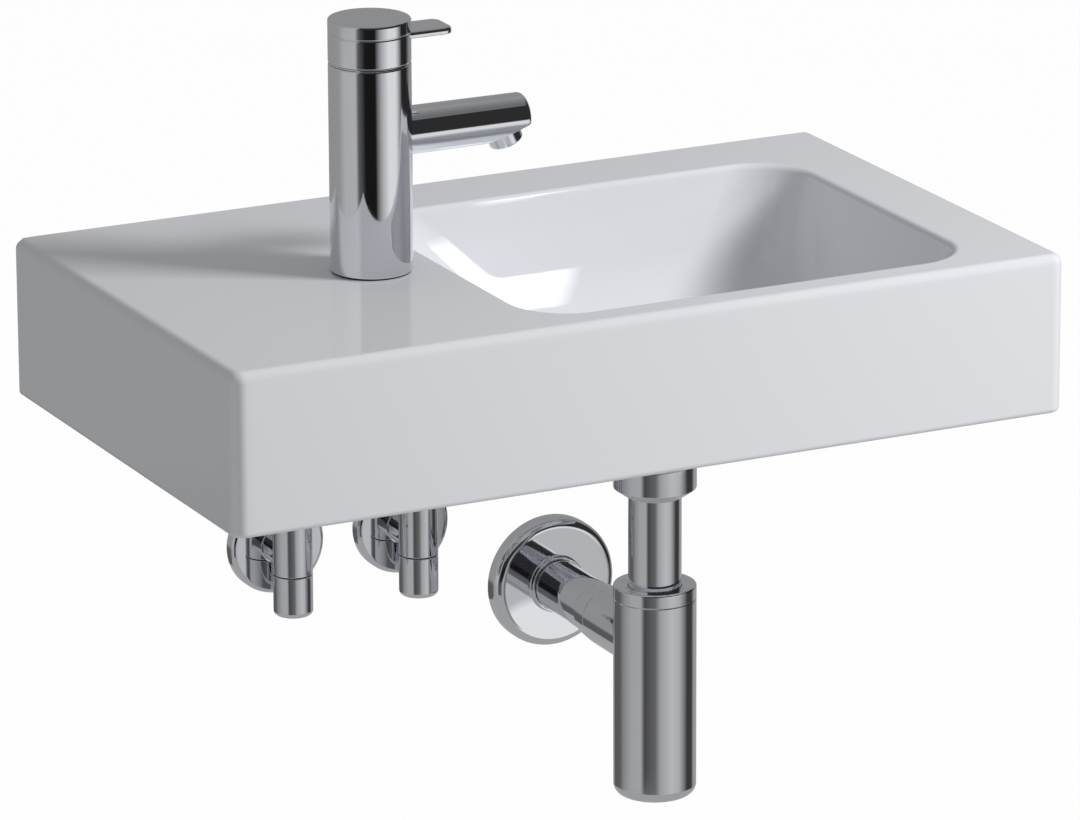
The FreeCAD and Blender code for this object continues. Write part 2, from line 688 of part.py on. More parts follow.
def trap():
    """Bottle trap: slip nut and dip tube, bottle with its cap, outlet socket, wall tube and rosette."""
    axis = ("waste_x", "waste_y")
    tube = "trap_tube / 2"
    thread = "waste_tail / 2 + thread_gap"
    nut_r = "slip_nut / 2"
    grip = tube + " + slide_gap"
    side = "slip_nut_cone + slip_nut_side"
    keep("trap_inlet_nut", turned("inlet_nut", [
        (grip, "0"), (tube + " + slip_nut_rim", "0"), (nut_r, "slip_nut_cone"), (nut_r, side),
        (thread, side), (thread, "slip_lip"), (grip, "slip_lip")], axis + ("slip_base_z",)))
    collar = "waste_tail / 2 - slide_gap"
    keep("trap_inlet_seal", ring("inlet_seal", tube + " - trap_tube_wall", collar, "inlet_seal_thick",
                                 axis + ("collar_z",)))
    tube_length = "collar_z - bottle_base_z - dip_gap"
    bore = tube + " - trap_tube_wall"
    keep("trap_dip_tube", turned("dip_tube", [
        (bore, "0"), (tube, "0"), (tube, tube_length + " - tube_collar_thick"),
        (collar, tube_length + " - tube_collar_thick"), (collar, tube_length), (bore, tube_length)],
        axis + ("bottle_base_z + dip_gap",)))
    cap_r = "bottle / 2"
    cap_bore = "neck_r + thread_gap"
    cap_roof = "cap_height - cap_plate"
    cap = turned("cap_ring", [
        (cap_bore, "0"), (cap_r, "0"), (cap_r, "cap_height"), (grip, "cap_height"),
        (grip, cap_roof), (cap_bore, cap_roof)], axis + ("seam_z",))
    soften_rings(cap, "cap_round", [(number("bottle") / 2, number("cap_height"))])
    keep("trap_cap_ring", cap)
    keep("trap_tube_seal", ring("tube_seal", tube + " + running_gap", "neck_r - slide_gap", "tube_seal_thick",
                                axis + ("neck_top_z",)))
    neck = "neck_top_z - bottle_base_z"
    inside = "bottle / 2 - bottle_wall"
    neck_bore = "neck_r - bottle_wall"
    shoulder = "bottle_height - bottle_wall - bottle_shoulder"
    bottle = turned("bottle_shell", [
        ("0", "0"), (cap_r, "0"), (cap_r, "bottle_height"), ("neck_r", "bottle_height"), ("neck_r", neck),
        (neck_bore, neck), (neck_bore, "bottle_height - bottle_wall"), (inside, shoulder),
        (inside, "bottle_base_thick"), ("0", "bottle_base_thick")], axis + ("bottle_base_z",))
    soften_rings(bottle, "bottle_round", [(number("bottle") / 2, 0.0)])
    socket_bore = tube + " + slide_gap"
    step = tube + " + socket_step"
    outlet = turned("outlet_socket", [
        (socket_bore, inside), ("arm / 2", inside), ("arm / 2", "socket_length"), (step, "socket_length"),
        (step, "socket_length - gland_spigot - outlet_seal_thick"),
        (socket_bore, "socket_length - gland_spigot - outlet_seal_thick")], axis + ("arm_z",), TO_WALL)
    inner_trim = cylinder("bottle_inside", inside, shoulder + " - bottle_base_thick",
                          axis + ("bottle_base_z + bottle_base_thick",))
    stub = cut("socket_on_bottle", outlet, [inner_trim])
    way_out = cylinder("way_out", socket_bore, "socket_length", axis + ("arm_z",), TO_WALL)
    keep("trap_body", cut("trap_body_part", joined("bottle_and_socket", [bottle, stub]), [way_out]))
    seal_y = "socket_end_y - gland_spigot - outlet_seal_thick"
    keep("trap_outlet_seal", ring("outlet_seal", tube + " + running_gap", step + " - running_gap",
                                  "outlet_seal_thick", ("waste_x", seal_y, "arm_z"), TO_WALL))
    spigot = step + " - thread_gap"
    keep("trap_outlet_nut", turned("outlet_nut", [
        (tube + " + slide_gap", "0"), (spigot, "0"), (spigot, "gland_spigot"), ("arm / 2", "gland_spigot"),
        ("arm / 2 - gland_taper", "gland_spigot + gland_length"),
        (tube + " + slide_gap", "gland_spigot + gland_length")],
        ("waste_x", "socket_end_y - gland_spigot", "arm_z"), TO_WALL))
    wall_at = "-waste_y - wall_tube_insert"
    mark_end = wall_at + " + depth_mark_width"
    mark = tube + " - depth_mark"
    tube_end = wall_at + " + wall_tube_reach"
    keep("trap_wall_tube", turned("wall_tube", [
        (bore, "0"), (tube, "0"), (tube, wall_at), (mark, wall_at), (mark, mark_end), (tube, mark_end),
        (tube, tube_end), (bore, tube_end)], ("waste_x", "waste_y + wall_tube_insert", "arm_z"), TO_WALL))
    rosette("trap_rosette", "trap_rosette", "trap_rosette_depth", "rosette_round", "trap_tube",
            ("waste_x", "0", "arm_z"), ("rosette_neck", "rosette_neck_length"))


def rosette(label, width, depth, rounding, pipe, at, neck=None):
    """Wall rosette: a hollow round cover with a soft front edge, open at its back, around a pipe."""
    hole = pipe + " / 2 + slide_gap"
    rim = width + " / 2"
    inside = rim + " - rosette_rim"
    under = depth + " - rosette_shell"
    front = [(hole, depth)]
    if neck:
        neck_r = neck[0] + " / 2"
        neck_end = depth + " + " + neck[1]
        front = [(neck_r, depth), (neck_r, neck_end), (hole, neck_end)]
    back = [(hole, under), (inside + " - rosette_bevel", under), (inside, under + " - rosette_bevel")]
    cover = turned(label + "_cover", [(inside, "0"), (rim, "0"), (rim, depth)] + front + back, at, FROM_WALL)
    soften_rings(cover, rounding, [(number(width) / 2, number(depth))])
    keep(label, cover)


def angle_valve(side, x):
    """Angle valve: body, rosette, quarter-turn headwork, spindle, knob and the tail's compression joint."""
    axis = (x, "valve_y")
    half = "valve_width / 2"
    barrel = cylinder(side + "_barrel", half, "valve_rise + valve_seam_drop", axis + ("valve_seam_z",))
    spigot = cylinder(side + "_spigot", "spigot / 2", "spigot_height", axis + ("valve_top_z",))
    arm = cylinder(side + "_arm", "valve_arm / 2", "valve_stand", axis + ("valve_z",), TO_WALL)
    inlet = cylinder(side + "_inlet", "inlet_thread / 2", "inlet_length", (x, "0", "valve_z"), TO_WALL)
    bores = [
        cylinder(side + "_head_bore", "headwork / 2 + thread_gap", "headwork_length + seat_seal_thick",
                 axis + ("valve_seam_z",)),
        cylinder(side + "_rising_bore", "valve_bore / 2", "valve_rise + valve_seam_drop + spigot_height",
                 axis + ("valve_seam_z",)),
        cylinder(side + "_inlet_bore", "valve_bore / 2", "valve_stand + inlet_length",
                 axis + ("valve_z",), TO_WALL),
        cylinder(side + "_tail_socket", "supply_tail / 2 + thread_gap", "spigot_height",
                 axis + ("valve_top_z",)),
    ]
    casting = joined(side + "_valve_casting", [barrel, spigot, arm, inlet])
    keep(side + "_valve_body", cut(side + "_valve_body_part", casting, bores))
    rosette(side + "_valve_rosette", "valve_rosette", "valve_rosette_depth", "valve_rosette_round",
            "valve_arm", (x, "0", "valve_z"))
    shaft = "spindle / 2 + running_gap"
    pit = "spindle_collar / 2 + running_gap"
    deep = "headwork_length - spindle_collar_length - running_gap"
    keep(side + "_valve_headwork", turned(side + "_headwork", [
        (shaft, "0"), ("headwork / 2", "0"), ("headwork / 2", "headwork_length"), (pit, "headwork_length"),
        (pit, deep), (shaft, deep)], axis + ("valve_seam_z",)))
    keep(side + "_valve_seat_seal", ring(side + "_seat_seal", "valve_bore / 2 + running_gap", "headwork / 2",
                                         "seat_seal_thick", axis + ("valve_seam_z + headwork_length",)))
    grip = "knob_gap + spindle_grip"
    top = grip + " + headwork_length"
    keep(side + "_valve_spindle", turned(side + "_spindle", [
        ("0", "0"), ("spindle / 2", "0"), ("spindle / 2", top + " - spindle_collar_length"),
        ("spindle_collar / 2", top + " - spindle_collar_length"), ("spindle_collar / 2", top), ("0", top)],
        axis + ("valve_seam_z - knob_gap - spindle_grip",)))
    knob = turned(side + "_knob", [
        ("0", "0"), (half, "0"), (half, "knob_height"), ("spindle / 2 + thread_gap", "knob_height"),
        ("spindle / 2 + thread_gap", "knob_height - spindle_grip - thread_gap"),
        ("0", "knob_height - spindle_grip - thread_gap")], axis + ("valve_seam_z - knob_gap - knob_height",))
    soften_rings(knob, "knob_round", [(number("valve_width") / 2, 0.0)])
    keep(side + "_valve_knob", knob)
    tail = "supply_tail / 2 + thread_gap"
    keep(side + "_valve_olive", turned(side + "_olive", [
        (tail, "0"), (tail + " + olive_wall / 2", "0"), (tail + " + olive_wall", "olive_height / 2"),
        (tail + " + olive_wall / 2", "olive_height"), (tail, "olive_height")], axis + ("spigot_top_z",)))
    nut = new_body(side + "_compression_nut", axis + ("nut_top_z - nut_height",))
    pad(nut, hexagon(new_sketch(nut, side + "_nut_flats"), "nut_flats"), "nut_height")
    pocket(nut, circle(new_sketch(nut, side + "_nut_way", lift="nut_height"), tail + " + running_gap"))
    thread = circle(new_sketch(nut, side + "_nut_thread", lift="0"), "spigot / 2 + thread_gap")
    pocket(nut, thread, "nut_height - nut_lip", reverse=True)
    keep(side + "_valve_nut", nut)


def swan_path(sketch, run):
    """Line of a pipe in its own plane: straight down, an S of two equal bends across the run, and down."""
    vector = FreeCAD.Vector
    names = (run, "supply_bend", "tail_upper_up", "tail_lower_up", "tail_end_up")
    across, bend, upper, lower, end = [number(name) for name in names]
    first = vector(bend, upper)
    second = vector(across - bend, lower)
    between = second - first
    turn = math.atan2(between.y, between.x) + math.acos(-2 * bend / between.Length)
    spoke = vector(math.cos(turn), math.sin(turn)) * bend
    normal = vector(0, 0, 1)
    shapes = [Part.LineSegment(vector(), vector(0, upper)),
              Part.ArcOfCircle(Part.Circle(first, normal, bend), math.pi, math.pi + turn),
              Part.LineSegment(first - spoke, second + spoke),
              Part.ArcOfCircle(Part.Circle(second, normal, bend), 0.0, turn),
              Part.LineSegment(vector(across, lower), vector(across, end))]
    for shape in shapes:
        sketch.addGeometry(shape, False)
    for kind, ends in (("Coincident", (0, 1, -1, 1)), ("Vertical", (0,)), ("Vertical", (4,)),
                       ("Tangent", (0, 2, 1, 1)), ("Tangent", (1, 2, 2, 1)), ("Tangent", (2, 2, 3, 2)),
                       ("Tangent", (3, 1, 4, 1)), ("Equal", (1, 3))):
        sketch.addConstraint(Sketcher.Constraint(kind, *ends))
    bound = [("Radius", (1, bend), "supply_bend"), ("DistanceY", (-1, 1, 1, 3, upper), "tail_upper_up"),
             ("DistanceY", (-1, 1, 3, 3, lower), "tail_lower_up"), ("DistanceX", (-1, 1, 4, 2, across), run),
             ("DistanceY", (-1, 1, 4, 2, end), "tail_end_up")]
    for kind, values, name in bound:
        index = sketch.addConstraint(Sketcher.Constraint(kind, *values))
        sketch.setExpression("Constraints[%d]" % index, formula(name))
    return ["Edge%d" % i for i in range(1, len(shapes) + 1)]


def supply_tail(side):
    """Rigid supply tail: down out of the mixer, across towards the wall and down into its valve."""
    tail_x = side + "_tail_x"
    body = new_body(side + "_supply_tail_part", (tail_x, "tail_y", "tail_top_z"))
    heading = "atan2(valve_y - tail_y; %s_valve_x - %s)" % (side, tail_x)
    body.setExpression("Placement.Rotation.Angle", formula(heading))
    path = new_sketch(body, side + "_tail_path", "XZ_Plane")
    edges = swan_path(path, side + "_tail_run")
    section = circle(new_sketch(body, side + "_tail_section"), "supply_tail / 2")
    circle(section, "supply_tail / 2 - supply_wall")
    pipe = body.newObject("PartDesign::AdditivePipe", side + "_tail_pipe")
    pipe.Profile = section
    pipe.Spine = (path, edges)
    keep(side + "_supply_tail", body)


def mixer_body():
    """Mixer body with its cartridge bore, water ways and stud socket, and the seal under it."""
    axis = ("tap_x", "tap_y")
    wall = "tap_width / 2"
    bore = "cartridge_bore / 2"
    body = new_body("tap_body_part", axis + ("deck_z",))
    revolve(body, "tap_body", [
        ("0", "tap_seal_thick"), (wall, "tap_seal_thick"), (wall, "tap_body_height - tap_chamfer"),
        (wall + " - tap_chamfer", "tap_body_height"), (bore, "tap_body_height"), (bore, "cartridge_seat"),
        ("0", "cartridge_seat")])
    sockets = new_sketch(body, "tail_sockets", lift="tap_seal_thick")
    ways = new_sketch(body, "water_ways", lift="tap_seal_thick")
    for sign in ("", "-"):
        circle(sockets, "supply_tail / 2 + thread_gap", sign + "supply_spacing / 2", "-supply_offset")
        circle(ways, "water_way / 2", sign + "supply_spacing / 2", "-supply_offset")
    pocket(body, sockets, "supply_socket", reverse=True)
    pocket(body, ways, "cartridge_seat", reverse=True)
    stud = new_sketch(body, "stud_mark", lift="tap_seal_thick")
    pocket(body, circle(stud, "stud / 2 + thread_gap", "0", "stud_offset"), "stud_socket", reverse=True)
    mixed = new_sketch(body, "mixed_water", lift="cartridge_seat")
    pocket(body, circle(mixed, "water_way / 2", "mixed_offset"), "cartridge_seat - spout_height")
    outlet = new_sketch(body, "outlet_way", "YZ_Plane", "mixed_offset")
    pocket(body, circle(outlet, "water_way / 2", "0", "spout_height"), "tap_width", reverse=True)
    mouth = new_sketch(body, "spout_mouth", "YZ_Plane", wall + " - spout_spigot_length")
    circle(mouth, "spout_spigot / 2 + thread_gap", "0", "spout_height")
    pocket(body, mouth, "tap_width", reverse=True)
    keep("tap_body", body)
    keep("tap_base_seal", ring("base_seal", "tap_hole / 2 + slide_gap", "tap_seal_width / 2",
                               "tap_seal_thick", axis + ("deck_z",)))


def on_nozzle(piece, down):
    """Puts a piece on the aerator's axis, tipped outwards, at a distance below the spout's own axis."""
    tip = FreeCAD.Rotation(FreeCAD.Vector(0, -1, 0), number("aerator_angle"))
    place(piece, ("tap_x + aerator_reach + (%s) * sin(aerator_angle)" % down, "tap_y",
                  "spout_z - (%s) * cos(aerator_angle)" % down), tip)
    piece.setExpression("Placement.Rotation.Angle", formula("aerator_angle"))
    return piece


def spout():
    """Level spout on a spigot in the mixer body. Its heel is cut off flat, and an aerator is screwed in there, tipped
    outwards."""
    axis = ("tap_x", "tap_y", "spout_z")
    wall = "tap_width / 2"
    rod = turned("spout_rod", [("0", "0"), ("spout_width / 2", "0"), ("spout_tip / 2", "spout_reach"),
                               ("0", "spout_reach")], axis, TO_RIGHT)
    soften_rings(rod, "spout_round", [(number("spout_tip") / 2, number("spout_reach"))])
    saddle = cylinder("saddle", wall + " + thread_gap", "tap_body_height", ("tap_x", "tap_y", "deck_z"))
    inset = "tap_x + tap_width / 2 - spout_spigot_length"
    spigot = cylinder("spout_spigot_rod", "spout_spigot / 2", "spout_spigot_length + spout_width / 2",
                      (inset, "tap_y", "spout_z"), TO_RIGHT)
    way = cylinder("spout_way", "spout_bore / 2",
                   "spout_reach - spout_end_wall - tap_width / 2 + spout_spigot_length",
                   (inset, "tap_y", "spout_z"), TO_RIGHT)
    outer = "aerator / 2"
    inner = "aerator / 2 - aerator_wall"
    seat = cylinder("aerator_seat", outer + " + thread_gap", "aerator_length + aerator_seal_thick", axis)
    on_nozzle(seat, "aerator_face")
    heel = on_nozzle(cylinder("heel_cut", "spout_width", "spout_width", axis), "spout_heel + spout_width")
    whole = joined("spout_solid", [cut("spout_saddle", rod, [saddle]), spigot])
    keep("tap_spout", cut("tap_spout_part", whole, [way, seat, heel]))
    case = turned("aerator_case", [
        (inner + " - aerator_lip", "0"), (outer, "0"), (outer, "aerator_length"), (inner, "aerator_length"),
        (inner, "aerator_lip"), (inner + " - aerator_lip", "aerator_lip")], axis)
    keep("aerator_housing", on_nozzle(case, "aerator_face"))
    washer = ring("aerator_washer", inner, outer, "aerator_seal_thick", axis)
    keep("aerator_seal", on_nozzle(washer, "aerator_face - aerator_length"))
    insert = on_nozzle(new_body("aerator_insert_part"), "aerator_face - aerator_lip")
    pad(insert, circle(new_sketch(insert, "insert_disc"), inner + " - thread_gap"), "mesh_thick")
    first = circle(new_sketch(insert, "mesh_mark", lift="mesh_thick"), "mesh_hole / 2", "mesh_circle / 2")
    hole = pocket(insert, first)
    pattern = insert.newObject("PartDesign::PolarPattern", "mesh_ring")
    pattern.Originals = [hole]
    pattern.Axis = (first, ["N_Axis"])
    bind(pattern, Occurrences="mesh_holes")
    insert.Tip = pattern
    pocket(insert, circle(new_sketch(insert, "mesh_centre", lift="mesh_thick"), "mesh_hole / 2"))
    keep("aerator_insert", insert)


def clamp_plate(name, thick, under):
    """Horseshoe plate under the deck, notched for the two tails, with a hole for the stud."""
    body = new_body(name + "_part", ("tap_x", "tap_y", under))
    pad(body, circle(new_sketch(body, name + "_disc"), "clamp_width / 2"), thick)
    inner = "supply_tail / 2 - supply_offset + notch_gap"
    notch = outline(new_sketch(body, name + "_notch", lift=thick), [
        ("-clamp_notch / 2", "-clamp_width"), ("clamp_notch / 2", "-clamp_width"),
        ("clamp_notch / 2", inner), ("-clamp_notch / 2", inner)])
    pocket(body, notch)
    stud_hole = new_sketch(body, name + "_hole", lift=thick)
    pocket(body, circle(stud_hole, "stud / 2 + slide_gap", "0", "stud_offset"))
    keep(name, body)


def tap_fixing():
    """Stud, horseshoe gasket and washer, and the nut that clamps the mixer to the deck."""
    gasket_z = "deck_z - deck_thick - clamp_gasket_thick"
    washer_z = gasket_z + " - clamp_washer_thick"
    stud_axis = ("tap_x", "tap_y + stud_offset")
    keep("tap_stud", cylinder("stud_rod", "stud / 2", "stud_tail + tap_seal_thick + stud_socket",
                              stud_axis + ("deck_z - stud_tail",)))
    clamp_plate("tap_clamp_gasket", "clamp_gasket_thick", gasket_z)
    clamp_plate("tap_clamp_washer", "clamp_washer_thick", washer_z)
    nut = new_body("tap_clamp_nut_part", stud_axis + (washer_z + " - clamp_nut_height",))
    pad(nut, hexagon(new_sketch(nut, "clamp_nut_hexagon"), "clamp_nut_flats"), "clamp_nut_height")
    pocket(nut, circle(new_sketch(nut, "clamp_nut_thread", lift="clamp_nut_height"), "stud / 2 + thread_gap"))
    keep("tap_clamp_nut", nut)


def ported(body, name, lift):
    """Cuts the hot, cold and mixed water ports down through a disc from a height."""
    sketch = new_sketch(body, name, lift=lift)
    for sign in ("", "-"):
        circle(sketch, "water_way / 2", sign + "supply_spacing / 2", "-supply_offset")
    circle(sketch, "water_way / 2", "mixed_offset")
    pocket(body, sketch)


def cartridge():
    """Ceramic-disc cartridge in the mixer body: housing, discs, turning driver, pin and clamp ring."""
    axis = ("tap_x", "tap_y")
    keep("cartridge_base_seal", ring("seat_gasket", "housing_bore_r - base_seal_thick",
                                     "housing_r - base_seal_thick", "base_seal_thick", axis + ("seat_z",)))
    housing = turned("housing_cup", [
        ("0", "0"), ("housing_r", "0"), ("housing_r", "cartridge_height"),
        ("housing_bore_r", "cartridge_height"), ("housing_bore_r", "cartridge_base"),
        ("0", "cartridge_base")], axis + ("housing_z",))
    ported(housing, "housing_ports", "cartridge_base")
    keep("cartridge_housing", housing)
    disc = new_body("fixed_disc_part", axis + ("fixed_disc_z",))
    pad(disc, circle(new_sketch(disc, "fixed_disc_mark"), "housing_bore_r - slide_gap"), "fixed_disc_thick")
    ported(disc, "fixed_disc_ports", "fixed_disc_thick")
    keep("ceramic_fixed_disc", disc)
    mover = new_body("moving_disc_part", axis + ("moving_disc_z",))
    pad(mover, circle(new_sketch(mover, "moving_disc_mark"), "moving_disc / 2"), "moving_disc_thick")
    pit = circle(new_sketch(mover, "ball_pit", lift="moving_disc_thick"), "ball / 2 + ball_gap")
    pit_depth = "moving_disc_z + moving_disc_thick - pivot_z + ball_drop + ball / 2 + ball_gap"
    pocket(mover, pit, pit_depth)
    keep("ceramic_moving_disc", mover)
    driver = cylinder("driver_drum", "housing_bore_r - running_gap", "driver_height", axis + ("driver_z",))
    slot_at = ("tap_x - driver_slot_back", "tap_y - stem_blade / 2 - slide_gap", "driver_z")
    slot = block("driver_slot", "driver_slot_front + driver_slot_back", "stem_blade + 2 * slide_gap",
                 "driver_height", slot_at)
    pin_hole = cylinder("pin_hole", "pin / 2 + running_gap / 2", "pin_length",
                        ("tap_x", "tap_y - pin_length / 2", "pivot_z"), TO_WALL)
    keep("cartridge_driver", cut("cartridge_driver_part", driver, [slot, pin_hole]))
    keep("cartridge_pin", cylinder("pin_rod", "pin / 2", "pin_length",
                                   ("tap_x", "tap_y - pin_length / 2", "pivot_z"), TO_WALL))
    keep("cartridge_clamp_ring", ring("clamp_ring", "ring_opening / 2", "cartridge_bore / 2 - thread_gap",
                                      "ring_height", axis + ("body_top_z - ring_height",)))


def handle():
    """Round dome on the body and the lever handle that swings and turns over it on its stem."""
    axis = ("tap_x", "tap_y")
    pivot = axis + ("pivot_z",)
    dome_inside = ball("dome_inside", "dome_r - dome_wall", pivot)
    shell = cut("dome_shell", ball("dome_ball", "dome_r", pivot), [dome_inside])
    below = cylinder("dome_below", "2 * dome_r", "2 * dome_r", axis + ("body_top_z - 2 * dome_r",))
    way = cylinder("dome_way", "dome_opening / 2", "2 * dome_r", axis + ("body_top_z",))
    keep("tap_dome", cut("tap_dome_part", shell, [below, way]))
    blade = block("stem_blade_bar", "stem", "stem_blade", "blade_rise + stem_foot",
                  ("tap_x - stem / 2", "tap_y - stem_blade / 2", "pivot_z - stem_foot"))
    shank = cylinder("stem_shank", "stem / 2", "stem_rise - blade_rise", axis + ("pivot_z + blade_rise",))
    neck = cylinder("stem_neck_rod", "stem_neck / 2", "ball_drop", axis + ("pivot_z - ball_drop",))
    foot = ball("stem_ball", "ball / 2", axis + ("pivot_z - ball_drop",))
    eye = cylinder("stem_eye", "pin / 2 + running_gap", "pin_length",
                   ("tap_x", "tap_y - pin_length / 2", "pivot_z"), TO_WALL)
    keep("lever_stem", cut("lever_stem_part", joined("stem_solid", [blade, shank, neck, foot]), [eye]))
    cap = turned("handle_drum", [("0", "0"), ("tap_width / 2", "0"), ("tap_width / 2", "handle_height"),
                                 ("0", "handle_height")], axis + ("handle_base_z",))
    soften_rings(cap, "handle_round", [(number("tap_width") / 2, number("handle_height"))])
    lever = new_body("lever_tab", axis + ("handle_top_z - lever_drop - lever_thick",))
    pad(lever, outline(new_sketch(lever, "lever_plan"), [
        ("0", "-lever_root / 2"), ("lever_reach", "-lever_tip / 2"), ("lever_reach", "lever_tip / 2"),
        ("0", "lever_root / 2")]), "lever_thick")
    doc.recompute()
    tips = ["Edge%d" % i for i, edge in enumerate(lever.Tip.Shape.Edges, start=1)
            if edge.BoundBox.XMin > number("lever_reach") - NEAR and edge.BoundBox.ZLength > NEAR]
    soften(lever, "lever_tip_round", tips)
    swing = ball("swing_room", "swing_r", pivot)
    socket = cylinder("stem_socket", "stem / 2 + thread_gap", "stem_rise + slide_gap", pivot)
    screw_way = cylinder("grub_way", "grub / 2 + thread_gap", "tap_width", axis + ("grub_z",), TO_WALL)
    plug_at = ("tap_x", "tap_y + tap_width / 2 - plug_inset - plug_length", "grub_z")
    plug_way = cylinder("plug_way", "plug / 2 + thread_gap", "tap_width", plug_at, TO_WALL)
    keep("handle_cap", cut("handle_cap_part", joined("handle_solid", [cap, lever]),
                           [swing, socket, screw_way, plug_way]))
    keep("handle_grub_screw", cylinder("grub_rod", "grub / 2", "grub_length",
                                       ("tap_x", "tap_y + stem / 2 + thread_gap", "grub_z"), TO_WALL))
    keep("handle_index_plug", cylinder("plug_rod", "plug / 2", "plug_length", plug_at, TO_WALL))


def build():
    """Makes every piece of the basin."""
    basin_body()
    waste()
    trap()
    for side in ("hot", "cold"):
        angle_valve(side, side + "_valve_x")
        supply_tail(side)
    mixer_body()
    spout()
    tap_fixing()
    cartridge()
    handle()
    doc.recompute()


def write_pieces():
    """Checks every object, then writes one file for each piece."""
    for item in doc.Objects:
        if "Invalid" in item.State or "Error" in item.State:
            raise RuntimeError("%s could not be built" % item.Label)
    for piece in nodes:
        if piece.Shape.isNull() or not piece.Shape.isValid() or not piece.Shape.Solids:
            raise RuntimeError("%s has no sound solid" % piece.Label)
    os.makedirs("parts", exist_ok=True)
    for piece in nodes:
        piece.Shape.exportStep(os.path.join("parts", piece.Label + ".step"))


build()
write_pieces()
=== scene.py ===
"""Studio scene of a wall-hung hand basin with its mixer tap, bottle trap and angle valves."""
import json
import math
from functools import partial

import bmesh
import bpy
import numpy as np
from mathutils import Matrix, Vector

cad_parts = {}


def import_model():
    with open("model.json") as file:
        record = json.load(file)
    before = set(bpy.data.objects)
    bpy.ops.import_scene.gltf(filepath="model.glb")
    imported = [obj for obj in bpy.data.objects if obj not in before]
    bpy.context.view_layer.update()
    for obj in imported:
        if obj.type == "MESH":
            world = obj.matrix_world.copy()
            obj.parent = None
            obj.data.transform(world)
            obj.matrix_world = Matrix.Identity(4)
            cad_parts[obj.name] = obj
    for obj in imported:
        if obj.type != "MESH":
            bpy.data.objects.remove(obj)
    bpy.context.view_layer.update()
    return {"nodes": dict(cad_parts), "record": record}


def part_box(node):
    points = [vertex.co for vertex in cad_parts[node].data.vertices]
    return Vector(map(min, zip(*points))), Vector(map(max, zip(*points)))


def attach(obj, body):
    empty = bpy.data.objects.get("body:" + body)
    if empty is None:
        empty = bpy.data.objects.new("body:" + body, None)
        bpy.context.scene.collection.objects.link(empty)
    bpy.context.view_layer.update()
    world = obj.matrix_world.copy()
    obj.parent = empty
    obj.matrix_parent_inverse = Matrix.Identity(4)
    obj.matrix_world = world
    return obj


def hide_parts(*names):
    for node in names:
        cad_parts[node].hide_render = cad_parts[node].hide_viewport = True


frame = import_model()

# metres in a millimetre, columns of a turned piece, lead of the rows that keep flat sides flat in the light,
# bend of one step of an arc, least bend of a true edge, distances at which points merge and slivers clear,
# and the share of an eased corner at the middle of its arc
MM = 0.001
STEPS = 128
HOLD = 0.35
BEND = math.radians(9.0)
SHARP = math.radians(30.0)
MERGE = 2e-6
SLIVER = 1e-7
MIDWAY = 0.3


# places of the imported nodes, in millimetres

def low(node):
    """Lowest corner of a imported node."""
    return np.array(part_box(node)[0]) / MM


def high(node):
    """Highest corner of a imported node."""
    return np.array(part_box(node)[1]) / MM


def middle(node):
    """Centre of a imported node's box."""
    return (low(node) + high(node)) / 2


TAP = middle("tap_base_seal")
WASTE = middle("waste_top_seal")
ARM = middle("trap_wall_tube")
DECK = high("basin_body")[2]
FOOT = low("basin_body")[2]
ON_TAP = (TAP[0], TAP[1], 0.0)
ON_WASTE = (WASTE[0], WASTE[1], 0.0)
ON_OUTLET = (WASTE[0], WASTE[1], ARM[2])


# node group and finishes

